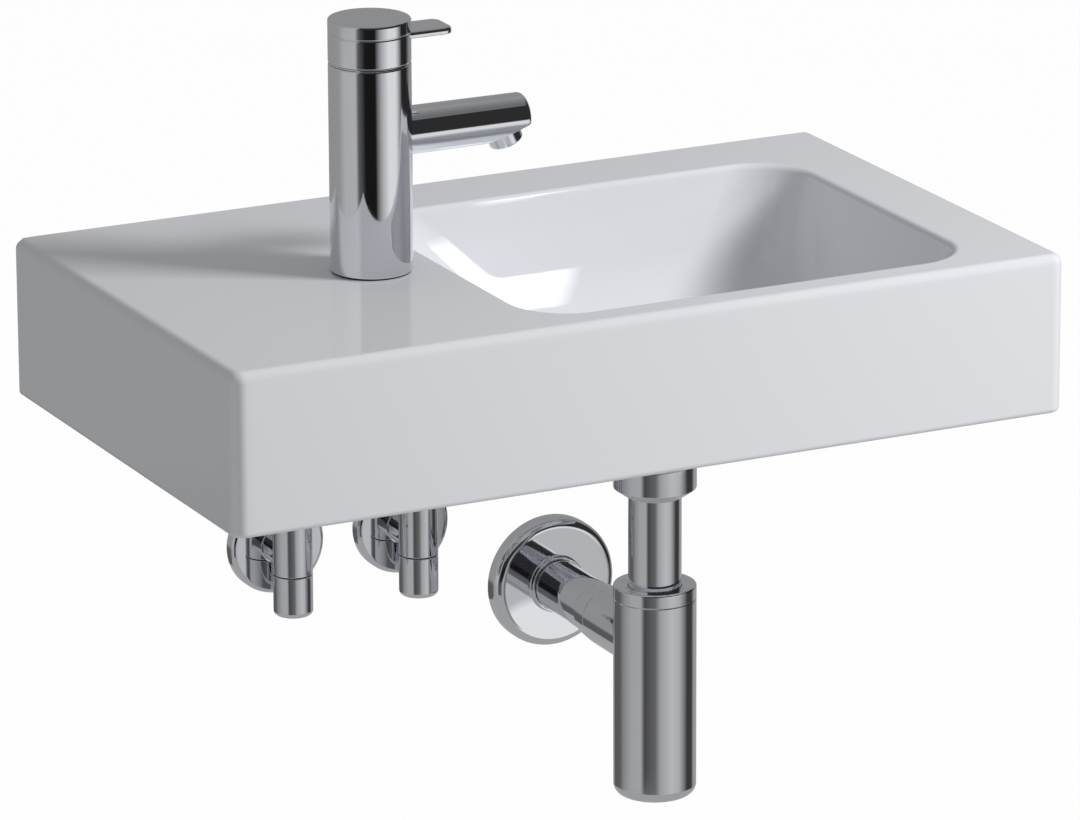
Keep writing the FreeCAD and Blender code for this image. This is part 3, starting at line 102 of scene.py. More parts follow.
def surface_group():
    """Slow tone drift, roughness drift and fine relief from three noise fields on Object coordinates."""
    group = bpy.data.node_groups.new("surface_drift", "ShaderNodeTree")
    face = group.interface
    for name, start in (("Tone A", (0.8, 0.8, 0.8, 1)), ("Tone B", (0.7, 0.7, 0.7, 1))):
        face.new_socket(name, in_out="INPUT", socket_type="NodeSocketColor").default_value = start
    for name, start in (("Patch Scale", 8.0), ("Rough Low", 0.1), ("Rough High", 0.2), ("Grain Scale", 300.0),
                        ("Relief", 0.02)):
        face.new_socket(name, in_out="INPUT", socket_type="NodeSocketFloat").default_value = start
    for name, kind in (("Color", "Color"), ("Roughness", "Float"), ("Normal", "Vector")):
        face.new_socket(name, in_out="OUTPUT", socket_type="NodeSocket" + kind)
    nodes, links = group.nodes, group.links
    given = nodes.new("NodeGroupInput")
    out = nodes.new("NodeGroupOutput")
    where = nodes.new("ShaderNodeTexCoord")
    patch, smudge, grain = [nodes.new("ShaderNodeTexNoise") for field in range(3)]
    tone = nodes.new("ShaderNodeMix")
    rough = nodes.new("ShaderNodeMapRange")
    bump = nodes.new("ShaderNodeBump")
    finer = nodes.new("ShaderNodeMath")
    finer.operation = "MULTIPLY"
    finer.inputs[1].default_value = 3.0
    tone.data_type = "RGBA"
    for field, detail in ((patch, 3.0), (smudge, 4.0), (grain, 2.0)):
        field.inputs["Detail"].default_value = detail
        links.new(where.outputs["Object"], field.inputs["Vector"])
    links.new(given.outputs["Patch Scale"], patch.inputs["Scale"])
    links.new(given.outputs["Patch Scale"], finer.inputs[0])
    links.new(finer.outputs[0], smudge.inputs["Scale"])
    links.new(given.outputs["Grain Scale"], grain.inputs["Scale"])
    links.new(patch.outputs["Fac"], tone.inputs["Factor"])
    links.new(given.outputs["Tone A"], tone.inputs["A"])
    links.new(given.outputs["Tone B"], tone.inputs["B"])
    links.new(smudge.outputs["Fac"], rough.inputs["Value"])
    rough.inputs["From Min"].default_value = 0.3
    rough.inputs["From Max"].default_value = 0.7
    links.new(given.outputs["Rough Low"], rough.inputs["To Min"])
    links.new(given.outputs["Rough High"], rough.inputs["To Max"])
    bump.inputs["Distance"].default_value = 0.0004
    links.new(given.outputs["Relief"], bump.inputs["Strength"])
    links.new(grain.outputs["Fac"], bump.inputs["Height"])
    links.new(tone.outputs["Result"], out.inputs["Color"])
    links.new(rough.outputs["Result"], out.inputs["Roughness"])
    links.new(bump.outputs["Normal"], out.inputs["Normal"])
    return group


DRIFT = surface_group()


def finish(name, tone_a, tone_b, metallic, patch, rough, grain, relief, ior=1.5):
    """A finish made of one drift group and one principled shader."""
    material = bpy.data.materials.new(name)
    material.use_nodes = True
    nodes, links = material.node_tree.nodes, material.node_tree.links
    shader = nodes["Principled BSDF"]
    drift = nodes.new("ShaderNodeGroup")
    drift.node_tree = DRIFT
    for socket, value in (("Tone A", (*tone_a, 1)), ("Tone B", (*tone_b, 1)), ("Patch Scale", patch),
                          ("Rough Low", rough[0]), ("Rough High", rough[1]), ("Grain Scale", grain),
                          ("Relief", relief)):
        drift.inputs[socket].default_value = value
    links.new(drift.outputs["Color"], shader.inputs["Base Color"])
    links.new(drift.outputs["Roughness"], shader.inputs["Roughness"])
    links.new(drift.outputs["Normal"], shader.inputs["Normal"])
    shader.inputs["Metallic"].default_value = metallic
    shader.inputs["IOR"].default_value = ior
    return material


FINISHES = {
    "glazed_ceramic": finish("white_glaze", (0.775, 0.79, 0.82), (0.76, 0.775, 0.81), 0.0, 5.0, (0.05, 0.09),
                             220.0, 0.012, 1.52),
    "chrome": finish("bright_chrome", (0.80, 0.81, 0.84), (0.77, 0.785, 0.82), 1.0, 14.0, (0.035, 0.07),
                     500.0, 0.006),
    "brass": finish("turned_brass", (0.74, 0.57, 0.28), (0.66, 0.49, 0.23), 1.0, 40.0, (0.22, 0.34),
                    900.0, 0.08),
    "steel": finish("turned_steel", (0.60, 0.60, 0.61), (0.52, 0.52, 0.53), 1.0, 40.0, (0.25, 0.38),
                    900.0, 0.08),
    "copper": finish("drawn_copper", (0.74, 0.42, 0.28), (0.62, 0.33, 0.21), 1.0, 25.0, (0.20, 0.34),
                     700.0, 0.06),
    "rubber": finish("black_rubber", (0.035, 0.035, 0.036), (0.022, 0.022, 0.023), 0.0, 60.0, (0.55, 0.7),
                     1200.0, 0.15),
    "disc_ceramic": finish("lapped_ceramic", (0.80, 0.78, 0.72), (0.76, 0.74, 0.68), 0.0, 60.0, (0.2, 0.3),
                           900.0, 0.03),
    "cartridge_plastic": finish("moulded_grey", (0.55, 0.56, 0.57), (0.50, 0.51, 0.52), 0.0, 50.0,
                                (0.35, 0.5), 800.0, 0.10),
    "plug_plastic": finish("moulded_plug", (0.48, 0.49, 0.51), (0.43, 0.44, 0.46), 0.0, 80.0, (0.25, 0.35),
                           900.0, 0.05),
}


# surfaces

def corner_arc(corner, one, other, ease, count):
    """Arc of radius ease that touches both sides of a corner: its centre lies on the bisector at ease over
    the sine of half the angle, and its spokes are spread evenly between the two touching points."""
    half = np.arccos(np.clip((one * other).sum(-1, keepdims=True), -1, 1)) / 2
    bisector = one + other
    bisector = bisector / np.linalg.norm(bisector, axis=-1, keepdims=True)
    centre = corner + bisector * ease / np.sin(half)
    first = corner + one * ease / np.tan(half) - centre
    last = corner + other * ease / np.tan(half) - centre
    sweep = np.pi - 2 * half
    share = np.linspace(0, 1, count).reshape((count,) + (1,) * corner.ndim)
    return centre + (np.sin((1 - share) * sweep) * first + np.sin(share * sweep) * last) / np.sin(sweep)


def eased(corners, closed=True):
    """Outline through corners (across, up, ease): each eased corner becomes an arc, with a holding point a
    little way along each of its sides so that flat sides stay flat in the light."""
    spots = np.array([corner[:2] for corner in corners], float)
    points = []
    for i, corner in enumerate(corners):
        here, ease = spots[i], corner[2]
        if not closed and i in (0, len(corners) - 1):
            points.append(here[None])
            continue
        back = spots[i - 1] - here
        on = spots[(i + 1) % len(corners)] - here
        sides = [side / np.linalg.norm(side) for side in (back, on)]
        turn = math.pi - math.acos(np.clip(np.dot(*sides), -1, 1))
        shift = ease * math.tan(turn / 2)
        lead = [min(HOLD, max(np.linalg.norm(side) / 2 - shift, 0) / 2) for side in (back, on)]
        arc = here[None]
        if ease > 0:
            arc = corner_arc(here, sides[0], sides[1], ease, max(3, math.ceil(turn / BEND) + 1))
        points += [here[None] + sides[0] * (shift + lead[0]), arc, here[None] + sides[1] * (shift + lead[1])]
    return np.concatenate(points)


def quarter(ease, count):
    """Steps of a quarter arc: its radius times one less the sine of the turn, and one less the cosine."""
    turn = np.linspace(0, math.pi / 2, count)
    return zip(ease * (1 - np.sin(turn)), ease * (1 - np.cos(turn)))


def quads(rows, columns, closed):
    """Corner numbers of the quads of a grid whose columns close round, and whose rows do so when closed."""
    row = np.arange(rows if closed else rows - 1)[:, None]
    column = np.arange(columns)[None, :]
    below = (row + 1) % rows
    beside = (column + 1) % columns
    corners = [row * columns + column, row * columns + beside, below * columns + beside,
               below * columns + column]
    return np.stack(corners, axis=-1).reshape(-1, 4)


def tidy(mesh):
    """Closes seams and poles, points the faces outwards and keeps only the true edges sharp."""
    work = bmesh.new()
    work.from_mesh(mesh)
    bmesh.ops.remove_doubles(work, verts=work.verts, dist=MERGE)
    bmesh.ops.dissolve_degenerate(work, edges=work.edges, dist=SLIVER)
    bmesh.ops.recalc_face_normals(work, faces=work.faces)
    work.to_mesh(mesh)
    work.free()
    mesh.shade_smooth()
    mesh.set_sharp_from_angle(angle=SHARP)


def surface(name, grid, closed):
    """Object made from a grid of points (rows, columns, 3) in millimetres."""
    rows, columns = grid.shape[:2]
    mesh = bpy.data.meshes.new(name)
    mesh.from_pydata((grid.reshape(-1, 3) * MM).tolist(), [], quads(rows, columns, closed).tolist())
    tidy(mesh)
    thing = bpy.data.objects.new(name, mesh)
    bpy.context.scene.collection.objects.link(thing)
    return thing


# how a turned piece lies: its two axes across, its axis along and the way along it
LAID = {"up": (0, 1, 2, 1), "wall": (0, 2, 1, 1), "front": (0, 2, 1, -1)}


def turned(name, section, at, lie="up", closed=True, steps=STEPS):
    """Section (radius r, height h) carried round an axis: r cos a and r sin a across it and h along it."""
    angle = np.linspace(0, 2 * np.pi, steps, endpoint=False)
    radius, height = section[:, :1], section[:, 1:]
    first, second, along, way = LAID[lie]
    grid = np.empty((len(section), steps, 3))
    grid[..., first] = radius * np.cos(angle)
    grid[..., second] = radius * np.sin(angle)
    grid[..., along] = way * height
    return surface(name, grid + np.asarray(at), closed)


def spokes(section, angle, at):
    """Grid of rows of (distance, height) along directions round an upright axis."""
    far, height = section[..., 0], section[..., 1]
    return np.stack([at[0] + far * np.cos(angle), at[1] + far * np.sin(angle), height], -1)


def ray_row(angle, far, height):
    """One row of (distance, height), where either may be one number for all directions."""
    return np.stack([np.broadcast_to(far, angle.shape), np.broadcast_to(height, angle.shape)], -1)


def reach(angle, corners, rounds):
    """Distance from the origin to a convex outline along each direction: the nearest side that the ray meets,
    or the corner's arc where the ray leaves between that arc's two touching points."""
    ray = np.stack([np.cos(angle), np.sin(angle)], -1)
    spots = np.asarray(corners, float)
    side = np.roll(spots, -1, 0) - spots
    side /= np.linalg.norm(side, axis=1, keepdims=True)
    outward = np.stack([side[:, 1], -side[:, 0]], -1)
    offset = (outward * spots).sum(1)
    slope = ray @ outward.T
    best = np.where(slope > 1e-9, offset / np.maximum(slope, 1e-9), np.inf).min(1)
    for i, ease in enumerate(rounds):
        if ease <= 0:
            continue
        one, other = outward[i - 1], outward[i]
        centre = np.linalg.solve(np.stack([one, other]), [offset[i - 1] - ease, offset[i] - ease])
        hit = ray * best[:, None] - centre
        past_one = one[0] * hit[:, 1] - one[1] * hit[:, 0] >= 0
        before_other = hit[:, 0] * other[1] - hit[:, 1] * other[0] >= 0
        ahead = ray @ centre
        arc = ahead + np.sqrt(np.maximum(ahead ** 2 - centre @ centre + ease ** 2, 0))
        best = np.where(past_one & before_other, arc, best)
    return best


def carve(thing, tool, way):
    """Cuts a tool out of a piece, or joins it on, and clears the tool away."""
    change = thing.modifiers.new("shape", "BOOLEAN")
    change.operation = way
    change.solver = "EXACT"
    change.object = tool
    bpy.context.view_layer.update()
    result = thing.evaluated_get(bpy.context.evaluated_depsgraph_get())
    mesh = bpy.data.meshes.new_from_object(result)
    mesh.name = thing.name
    thing.modifiers.clear()
    thing.data = mesh
    tidy(mesh)
    bpy.data.objects.remove(tool)


def bore(thing, radius, start, end, at, lie="up", steps=STEPS):
    """Drills a round hole through a piece, between two places along an axis."""
    section = np.array([(0, start), (radius, start), (radius, end), (0, end)])
    carve(thing, turned("drill", section, at, lie, closed=False, steps=steps), "DIFFERENCE")


def settle(thing, body, slot, node):
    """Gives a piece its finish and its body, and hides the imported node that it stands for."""
    thing.data.materials.clear()
    thing.data.materials.append(FINISHES[slot])
    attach(thing, body)
    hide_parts(node)


# ceramic basin: left, right, front and back of the bowl, then levels, walls, eased edges and holes

BOWL = {"top": (-67.0, 218.0, -287.0, -49.0), "floor": (-9.0, 202.0, -271.0, -65.0)}
BOWL_ROUND = {"top": 36.0, "floor": 66.0}
FLOOR_Z = -30.0
UNDER_Z = -42.0
SKIN = 12.0
SKIN_TOP = DECK - SKIN / 2
ROOF_Z = DECK - 14.0
ROOF_LEAD = 4.5
ROOF_EASE = 4.0
ROOF_GAP = 1.5
RIM_EASE = 4.0
FLOOR_EASE = 44.0
TOP_EASE = 6.0
TOP_LEAD = 2.0
FOOT_EASE = 3.0
CORNER = 8.0
APRON_EASE = 2.0
APRON_ROUND = 4.0
WASTE_LAP = 8.5
WASTE_EASE = 1.0
WASTE_BEVEL = 0.5
TAP_HOLE = 17.5
BOLT_HOLE = 8.0
BOLT_X = 140.0
BASIN_COLUMNS = 600
BASIN_ROWS = {"floor": 26, "wall": 20, "rim": 11, "top": 9, "foot": 7, "under": 8}


def oblong(left, right, front, back):
    """Corners of a rectangle seen from the waste's axis."""
    return [(left - WASTE[0], front - WASTE[1]), (right - WASTE[0], front - WASTE[1]),
            (right - WASTE[0], back - WASTE[1]), (left - WASTE[0], back - WASTE[1])]


def arc_angles(corners, rounds, count):
    """Directions of points spread evenly over each rounded corner of a rectangle."""
    found = []
    for i, ((x, y), ease) in enumerate(zip(corners, rounds)):
        turn = math.pi + (i + np.linspace(0, 1, count)) * math.pi / 2
        centre_x = x + ease * (1 if i in (0, 3) else -1)
        centre_y = y + ease * (1 if i in (0, 1) else -1)
        found.append(np.arctan2(centre_y + ease * np.sin(turn), centre_x + ease * np.cos(turn)))
    return np.concatenate(found)


def hollow(height, base, top, levels, eases, rounds):
    """Sides and corner rounds of a tapered hollow at one height: each side follows its own section, which is
    an arc off the floor, a straight sloping wall and an arc over the rim, and each corner's round grows or
    shrinks by as much as the sides beside it stand off the plain wall."""
    share = (height - levels[0]) / (levels[1] - levels[0])
    above, below = height - levels[0], levels[1] - height
    spots, shifts = [], []
    for out, start, end in zip((-1, 1, -1, 1), base, top):
        slope = math.atan2(levels[1] - levels[0], abs(end - start))
        lead = math.tan(slope / 2)
        wall = start + (end - start) * share
        spot = wall
        if above < eases[0] * (1 - math.cos(slope)):
            spot = start + out * (math.sqrt(eases[0] ** 2 - (eases[0] - above) ** 2) - eases[0] * lead)
        if below < eases[1] * (1 - math.cos(slope)):
            spot = end - out * (math.sqrt(eases[1] ** 2 - (eases[1] - below) ** 2) - eases[1] * lead)
        spots.append(spot)
        shifts.append(out * (spot - wall))
    plain = rounds[0] + (rounds[1] - rounds[0]) * share
    return spots, [plain + (shifts[i] + shifts[j]) / 2 for i, j in ((0, 2), (1, 2), (1, 3), (0, 3))]


def basin():
    """Closed section carried round the waste's axis: bowl floor, wall, rim, deck, outer face, foot, inside of
    the apron, roof, outside of the bowl and waste hole. Each line is a level rounded oblong met by rays."""
    lo, hi = low("basin_body"), high("basin_body")
    outer = (lo[0], hi[0], lo[1], hi[1])
    shell = (lo[0] + SKIN, hi[0] - SKIN, lo[1] + SKIN, hi[1] - SKIN)
    grown = {key: (box[0] - SKIN, box[1] + SKIN, box[2] - SKIN, box[3] + SKIN) for key, box in BOWL.items()}
    even = np.linspace(-math.pi, math.pi, BASIN_COLUMNS, endpoint=False)
    at_corners = arc_angles(oblong(*outer), [CORNER, CORNER, 0.0, 0.0], 12)
    angle = np.unique(np.round(np.concatenate([even, at_corners]), 5))
    line = partial(ray_row, angle)

    def inside(height):
        return hollow(height, BOWL["floor"], BOWL["top"], (FLOOR_Z, DECK), (FLOOR_EASE, RIM_EASE),
                      (BOWL_ROUND["floor"], BOWL_ROUND["top"]))

    def skin(height):
        return hollow(height, grown["floor"], grown["top"], (UNDER_Z, SKIN_TOP), (FLOOR_EASE + SKIN, 0.0),
                      (BOWL_ROUND["floor"] + SKIN, BOWL_ROUND["top"] + SKIN))

    def loop(box, rounds):
        return reach(angle, oblong(*box), rounds)

    def outside(inset):
        box = (outer[0] + inset, outer[1] - inset, outer[2] + inset, outer[3])
        return loop(box, [CORNER - inset, CORNER - inset, 0.0, 0.0])

    hole = (high("waste_flange")[0] - low("waste_flange")[0]) / 2 - WASTE_LAP
    part_way = MIDWAY * WASTE_EASE
    rows = [line(hole, FLOOR_Z - WASTE_EASE), line(hole + part_way, FLOOR_Z - part_way),
            line(hole + WASTE_EASE, FLOOR_Z), line(hole + 1.5 * WASTE_EASE, FLOOR_Z),
            line(loop(*inside(FLOOR_Z)) - HOLD, FLOOR_Z)]
    steep = math.atan2(DECK - FLOOR_Z, BOWL["floor"][2] - BOWL["top"][2])
    sweep = np.linspace(0, steep, BASIN_ROWS["floor"])
    lower = FLOOR_Z + FLOOR_EASE * (1 - np.cos(sweep))
    upper = DECK - RIM_EASE * (1 - np.cos(np.linspace(steep, 0, BASIN_ROWS["rim"])))
    wall = np.linspace(lower[-1], upper[0], BASIN_ROWS["wall"])[1:-1]
    for height in np.concatenate([lower, wall, upper]):
        rows.append(line(loop(*inside(height)), height))
    rows.append(rows[-1] + line(HOLD, 0.0))
    rows.append(line(outside(TOP_EASE + HOLD) - TOP_LEAD, DECK))
    rows.append(line(outside(TOP_EASE + HOLD), DECK))
    rows += [line(outside(inset), DECK - drop) for inset, drop in quarter(TOP_EASE, BASIN_ROWS["top"])]
    rows.append(line(outside(0.0), DECK - TOP_EASE - HOLD))
    rows.append(line(outside(0.0), FOOT + FOOT_EASE + HOLD))
    rows += [line(outside(inset), FOOT + rise) for rise, inset in quarter(FOOT_EASE, BASIN_ROWS["foot"])]
    inner = loop(shell, [APRON_ROUND] * 4)
    part_way = MIDWAY * APRON_EASE
    rows += [line(inner + APRON_EASE, FOOT), line(inner + part_way, FOOT + part_way),
             line(inner, FOOT + APRON_EASE), line(inner, ROOF_Z - ROOF_LEAD)]
    meet = line(np.minimum(loop(*skin(ROOF_Z)), inner - ROOF_GAP), ROOF_Z)
    roof = line(inner, ROOF_Z)
    room = np.minimum((inner - meet[:, 0]) * MIDWAY, ROOF_EASE)[:, None]
    rows += [roof + line(*way) * room for way in ((0.0, -1.0), (-MIDWAY, -MIDWAY), (-1.0, 0.0))]
    rows += [meet + line(*way) * room for way in ((1.0, 0.0), (MIDWAY, -MIDWAY))]
    under = UNDER_Z + (FLOOR_EASE + SKIN) * (1 - np.cos(sweep))
    beside = np.linspace(ROOF_Z - ROOF_LEAD, under[-1], BASIN_ROWS["under"])[:-1]
    for height in np.concatenate([beside, under[::-1]]):
        rows.append(line(np.minimum(loop(*skin(height)), inner - ROOF_GAP), height))
    rows += [line(hole + WASTE_BEVEL, UNDER_Z), line(hole, UNDER_Z + WASTE_BEVEL)]
    body = surface("basin_shell", spokes(np.stack(rows), angle, WASTE), True)
    bore(body, TAP_HOLE, -40.0, 40.0, (TAP[0], TAP[1], DECK), steps=96)
    for x in (-BOLT_X, BOLT_X):
        bore(body, BOLT_HOLE, -20.0, 20.0, (x, 0.0, 0.0), "wall", 64)
    settle(body, "basin", "glazed_ceramic", "basin_body")


# waste and bottle trap

FLANGE_R = 31.5
FLANGE_LIP = 1.0
FLANGE_RISE = 3.0
WASTE_R = 20.95
WASTE_BORE = 18.0
GRID_DEEP = 2.5
GRID_DISH = 0.4
DRAIN_R = 4.0
DRAIN_RING = 12.0
DRAIN_COUNT = 6
TUBE_R = 16.0
TUBE_BORE = 14.8
TUBE_WAY = 16.3
BOTTLE_R = 25.0
SEAM_R = 24.7
SEAM_BEVEL = 0.5
SOCKET_R = 18.2
COVER_RIM = 3.0
COVER_SKIN = 1.5


def waste():
    """Waste flange with its domed edge and strainer plate; the strainer's holes are cut out of it."""
    top, base = high("waste_flange")[2], low("waste_flange")[2]
    rest = top - FLANGE_RISE
    section = eased([(0, rest - GRID_DEEP, 0), (WASTE_BORE, rest - GRID_DEEP, 0), (WASTE_BORE, base, 0.3),
                     (WASTE_R, base, 0.4), (WASTE_R, rest, 0), (FLANGE_R, rest, 0.2),
                     (FLANGE_R, rest + FLANGE_LIP, 0.4), (WASTE_R, top, 1.5),
                     (WASTE_BORE, rest + GRID_DISH, 0.8), (0, rest, 0)], closed=False)
    plate = turned("waste_grid", section, ON_WASTE, closed=False)
    for i in range(DRAIN_COUNT + 1):
        turn = i * 2 * math.pi / DRAIN_COUNT
        far = DRAIN_RING if i < DRAIN_COUNT else 0.0
        at = (WASTE[0] + far * math.cos(turn), WASTE[1] + far * math.sin(turn), rest)
        bore(plate, DRAIN_R, -6.0, 6.0, at, steps=32)
    settle(plate, "basin", "chrome", "waste_flange")


def slip_nut():
    """Turned nut on the trap's inlet: a cone, a drum and a stepped bore carried round the waste's axis."""
    base, top = low("trap_inlet_nut")[2], high("trap_inlet_nut")[2]
    lip, seat = 17.35, 21.0
    cone, shelf = base + 5.4, base + 8.5
    section = eased([(TUBE_WAY, base, 0.2), (lip, base, 0.3), (BOTTLE_R, cone, 0.8), (BOTTLE_R, top, 0.9),
                     (seat, top, 0.4), (seat, shelf, 0), (TUBE_WAY, shelf, 0)])
    settle(turned("slip_nut", section, ON_WASTE), "basin", "chrome", "trap_inlet_nut")


def dip_tube():
    """Thin straight tube with a collar at its top."""
    base, top = low("trap_dip_tube")[2], high("trap_dip_tube")[2]
    collar, under = 20.65, top - 2.0
    section = eased([(TUBE_BORE, base, 0.2), (TUBE_R, base, 0.2), (TUBE_R, under, 0.3), (collar, under, 0.3),
                     (collar, top, 0.3), (TUBE_BORE, top, 0.2)])
    settle(turned("dip_tube", section, ON_WASTE), "basin", "chrome", "trap_dip_tube")


def bottle_cap():
    """Ring that closes the bottle, with a bevel at the seam and a shallow dish round the tube."""
    seam, top = low("trap_cap_ring")[2], high("trap_cap_ring")[2]
    skirt, land, dish_r = 23.4, 20.0, 17.6
    dish, under = top - 1.0, top - 2.5
    section = eased([(skirt, seam, 0), (SEAM_R, seam, 0.15), (BOTTLE_R, seam + SEAM_BEVEL, 0.2),
                     (BOTTLE_R, top, 1.3), (land, top, 0.6), (dish_r, dish, 0.5), (TUBE_WAY, dish, 0.1),
                     (TUBE_WAY, under, 0), (skirt, under, 0)])
    settle(turned("bottle_cap", section, ON_WASTE), "basin", "chrome", "trap_cap_ring")


def bottle():
    """Round-bottomed bottle with a thinner neck; a level socket is joined on and bored through."""
    base, neck = low("trap_body")[2], high("trap_body")[2]
    seam = low("trap_cap_ring")[2]
    neck_r, neck_in, wall_in = 23.35, 21.35, 23.0
    inside = base + 4.0
    section = eased([(0, base, 0), (BOTTLE_R, base, 6.5), (BOTTLE_R, seam - SEAM_BEVEL, 0.2),
                     (SEAM_R, seam, 0.15), (neck_r, seam, 0), (neck_r, neck, 0), (neck_in, neck, 0),
                     (neck_in, seam - 2.0, 1.0), (wall_in, seam - 6.0, 1.0), (wall_in, inside, 3.0),
                     (0, inside, 0)], closed=False)
    body = turned("trap_bottle", section, ON_WASTE, closed=False)
    start, end = 14.0, high("trap_body")[1] - WASTE[1]
    seal_r, seal = 17.1, end - 9.0
    socket = eased([(TUBE_WAY, start, 0), (SOCKET_R, start, 0), (SOCKET_R, end, 0.5), (seal_r, end, 0.2),
                    (seal_r, seal, 0), (TUBE_WAY, seal, 0)])
    stub = turned("outlet_stub", socket, ON_OUTLET, "wall")
    bore(stub, 24.1, base + 30.0, seam - 3.0, ON_WASTE, steps=STEPS - 16)
    carve(body, stub, "UNION")
    bore(body, TUBE_R, 5.0, 30.0, ON_OUTLET, "wall")
    settle(body, "basin", "chrome", "trap_body")


def outlet_gland():
    """Nut that closes the outlet's socket, a skirt and a taper carried round the outlet's level axis."""
    start, end = low("trap_outlet_nut")[1] - WASTE[1], high("trap_outlet_nut")[1] - WASTE[1]
    skirt, tip, shoulder = 17.05, 17.2, start + 6.0
    section = eased([(TUBE_WAY, start, 0), (skirt, start, 0), (skirt, shoulder, 0),
                     (SOCKET_R, shoulder + 0.1, 0.35), (tip, end, 0.6), (TUBE_WAY, end, 0.2)])
    settle(turned("outlet_gland", section, ON_OUTLET, "wall"), "basin", "chrome", "trap_outlet_nut")


def wall_tube():
    """Straight level tube with a fine groove at the wall's face."""
    start, end = low("trap_wall_tube")[1] - WASTE[1], high("trap_wall_tube")[1] - WASTE[1]
    face = -WASTE[1]
    groove, past = TUBE_R - 0.4, face + 1.5
    section = eased([(TUBE_BORE, start, 0.2), (TUBE_R, start, 0.3), (TUBE_R, face, 0), (groove, face, 0),
                     (groove, past, 0), (TUBE_R, past, 0), (TUBE_R, end, 0.4), (TUBE_BORE, end, 0.3)])
    settle(turned("wall_tube", section, ON_OUTLET, "wall"), "basin", "chrome", "trap_wall_tube")


def wall_cover(name, node, at, rim, face, ease, neck):
    """Thin round cover at the wall: rim, flat face, the given corners of its neck, and its hollow back."""
    inner, back = rim - COVER_RIM, face - COVER_SKIN
    section = eased([(inner, 0, 0.3), (rim, 0, 0.3), (rim, face, ease), *neck, (neck[-1][0], back, 0),
                     (inner - COVER_SKIN, back, 0), (inner, back - COVER_SKIN, 0)])
    settle(turned(name, section, at, "front"), "basin", "chrome", node)


def trap_cover():
    """Cover of the trap's tube, with a short collar on the tube."""
    collar, face, tip = 17.7, 12.0, 16.0
    neck = [(collar, face, 0.6), (collar, tip, 0.8), (TUBE_WAY, tip, 0.3)]
    wall_cover("trap_wall_cover", "trap_rosette", (WASTE[0], 0.0, ARM[2]), 41.0, face, 6.0, neck)


# angle valves and their supply tails

BARREL_R = 12.0
BARREL_BORE = 8.55
BARREL_DEEP = 13.5
SPIGOT_R = 8.0
SPIGOT_BORE = 5.05
SPIGOT_RISE = 9.0
INLET_R = 11.0
INLET_THREAD = 10.4775
INLET_LONG = 16.0
INLET_BORE = 4.0
NUT_FLATS = 22.0
NUT_LIP = 2.5
PIPE_R = 5.0
PIPE_BORE = 4.0
PIPE_BEND = 36.0
PIPE_APART = 7.5
PIPE_AHEAD = 5.0
PIPE_ABOVE_NUT = 7.0
PIPE_DROP = 87.0


def hexagon_nut(name, thread, lip_way, at, base, top):
    """Six-sided nut: the outline is a hexagon met by rays, its upper and lower corners are turned off by a
    cone, and a stepped bore goes through it."""
    angle = np.linspace(-math.pi, math.pi, 144, endpoint=False)
    line = partial(ray_row, angle)
    corner = NUT_FLATS / math.sqrt(3)
    spots = [(corner * math.cos(a), corner * math.sin(a)) for a in np.arange(6) * math.pi / 3]
    outline = reach(angle, spots, [0.6] * 6)
    turned_off = np.minimum(outline, NUT_FLATS / 2 * 1.03)
    depth = (outline - turned_off) * 0.5
    fine, bevel, lip = 0.2, 0.3, top - NUT_LIP
    rows = [line(thread, lip), line(thread, base + bevel), line(thread + bevel, base),
            line(turned_off - bevel, base), line(turned_off, base + fine), line(outline, base + fine + depth),
            line(outline, top - fine - depth), line(turned_off, top - fine), line(turned_off - bevel, top),
            line(lip_way + fine, top), line(lip_way, top - fine), line(lip_way, lip)]
    return surface(name, spokes(np.stack(rows), angle, at), True)


def tail_line(side):
    """Centre line of a supply tail: straight down, an S of two equal bends, and straight down, as points and
    headings along it."""
    box = low(side + "_supply_tail"), high(side + "_supply_tail")
    apart = -PIPE_APART if side == "hot" else PIPE_APART
    start = np.array([TAP[0] + apart, TAP[1] - PIPE_AHEAD, box[1][2]])
    run = middle(side + "_valve_nut")[:2] - start[:2]
    across = np.linalg.norm(run)
    lower = high(side + "_valve_nut")[2] + PIPE_ABOVE_NUT - start[2]
    first, second = np.array([PIPE_BEND, lower + PIPE_DROP]), np.array([across - PIPE_BEND, lower])
    between = second - first
    turn = math.atan2(between[1], between[0]) + math.acos(-2 * PIPE_BEND / np.linalg.norm(between))
    sweep = np.linspace(0, turn, 25)
    back = sweep[::-1]
    one = first + PIPE_BEND * np.stack([np.cos(math.pi + sweep), np.sin(math.pi + sweep)], -1)
    two = second + PIPE_BEND * np.stack([np.cos(back), np.sin(back)], -1)
    flat = np.concatenate([[(0, 0)], one, two, [(across, box[0][2] - start[2])]])
    way = np.concatenate([[(0, -1)], np.stack([np.sin(sweep), -np.cos(sweep)], -1),
                          np.stack([np.sin(back), -np.cos(back)], -1), [(0, -1)]])
    plan = run / across

    def lift(pairs):
        return np.stack([pairs[:, 0] * plan[0], pairs[:, 0] * plan[1], pairs[:, 1]], -1)

    return start + lift(flat), lift(way), np.array([-plan[1], plan[0], 0.0])


def supply_tail(side):
    """Tube carried along its centre line: a circle across the level side axis and the line's normal."""
    line, way, across = tail_line(side)
    normal = np.cross(way, across)
    angle = np.linspace(0, 2 * np.pi, 48, endpoint=False)

    def skin(radius):
        circle = np.cos(angle)[None, :, None] * across + np.sin(angle)[None, :, None] * normal[:, None, :]
        return line[:, None, :] + radius * circle

    grid = np.concatenate([skin(PIPE_R), skin(PIPE_BORE)[::-1]])
    settle(surface(side + "_copper_tail", grid, True), "basin", "copper", side + "_supply_tail")


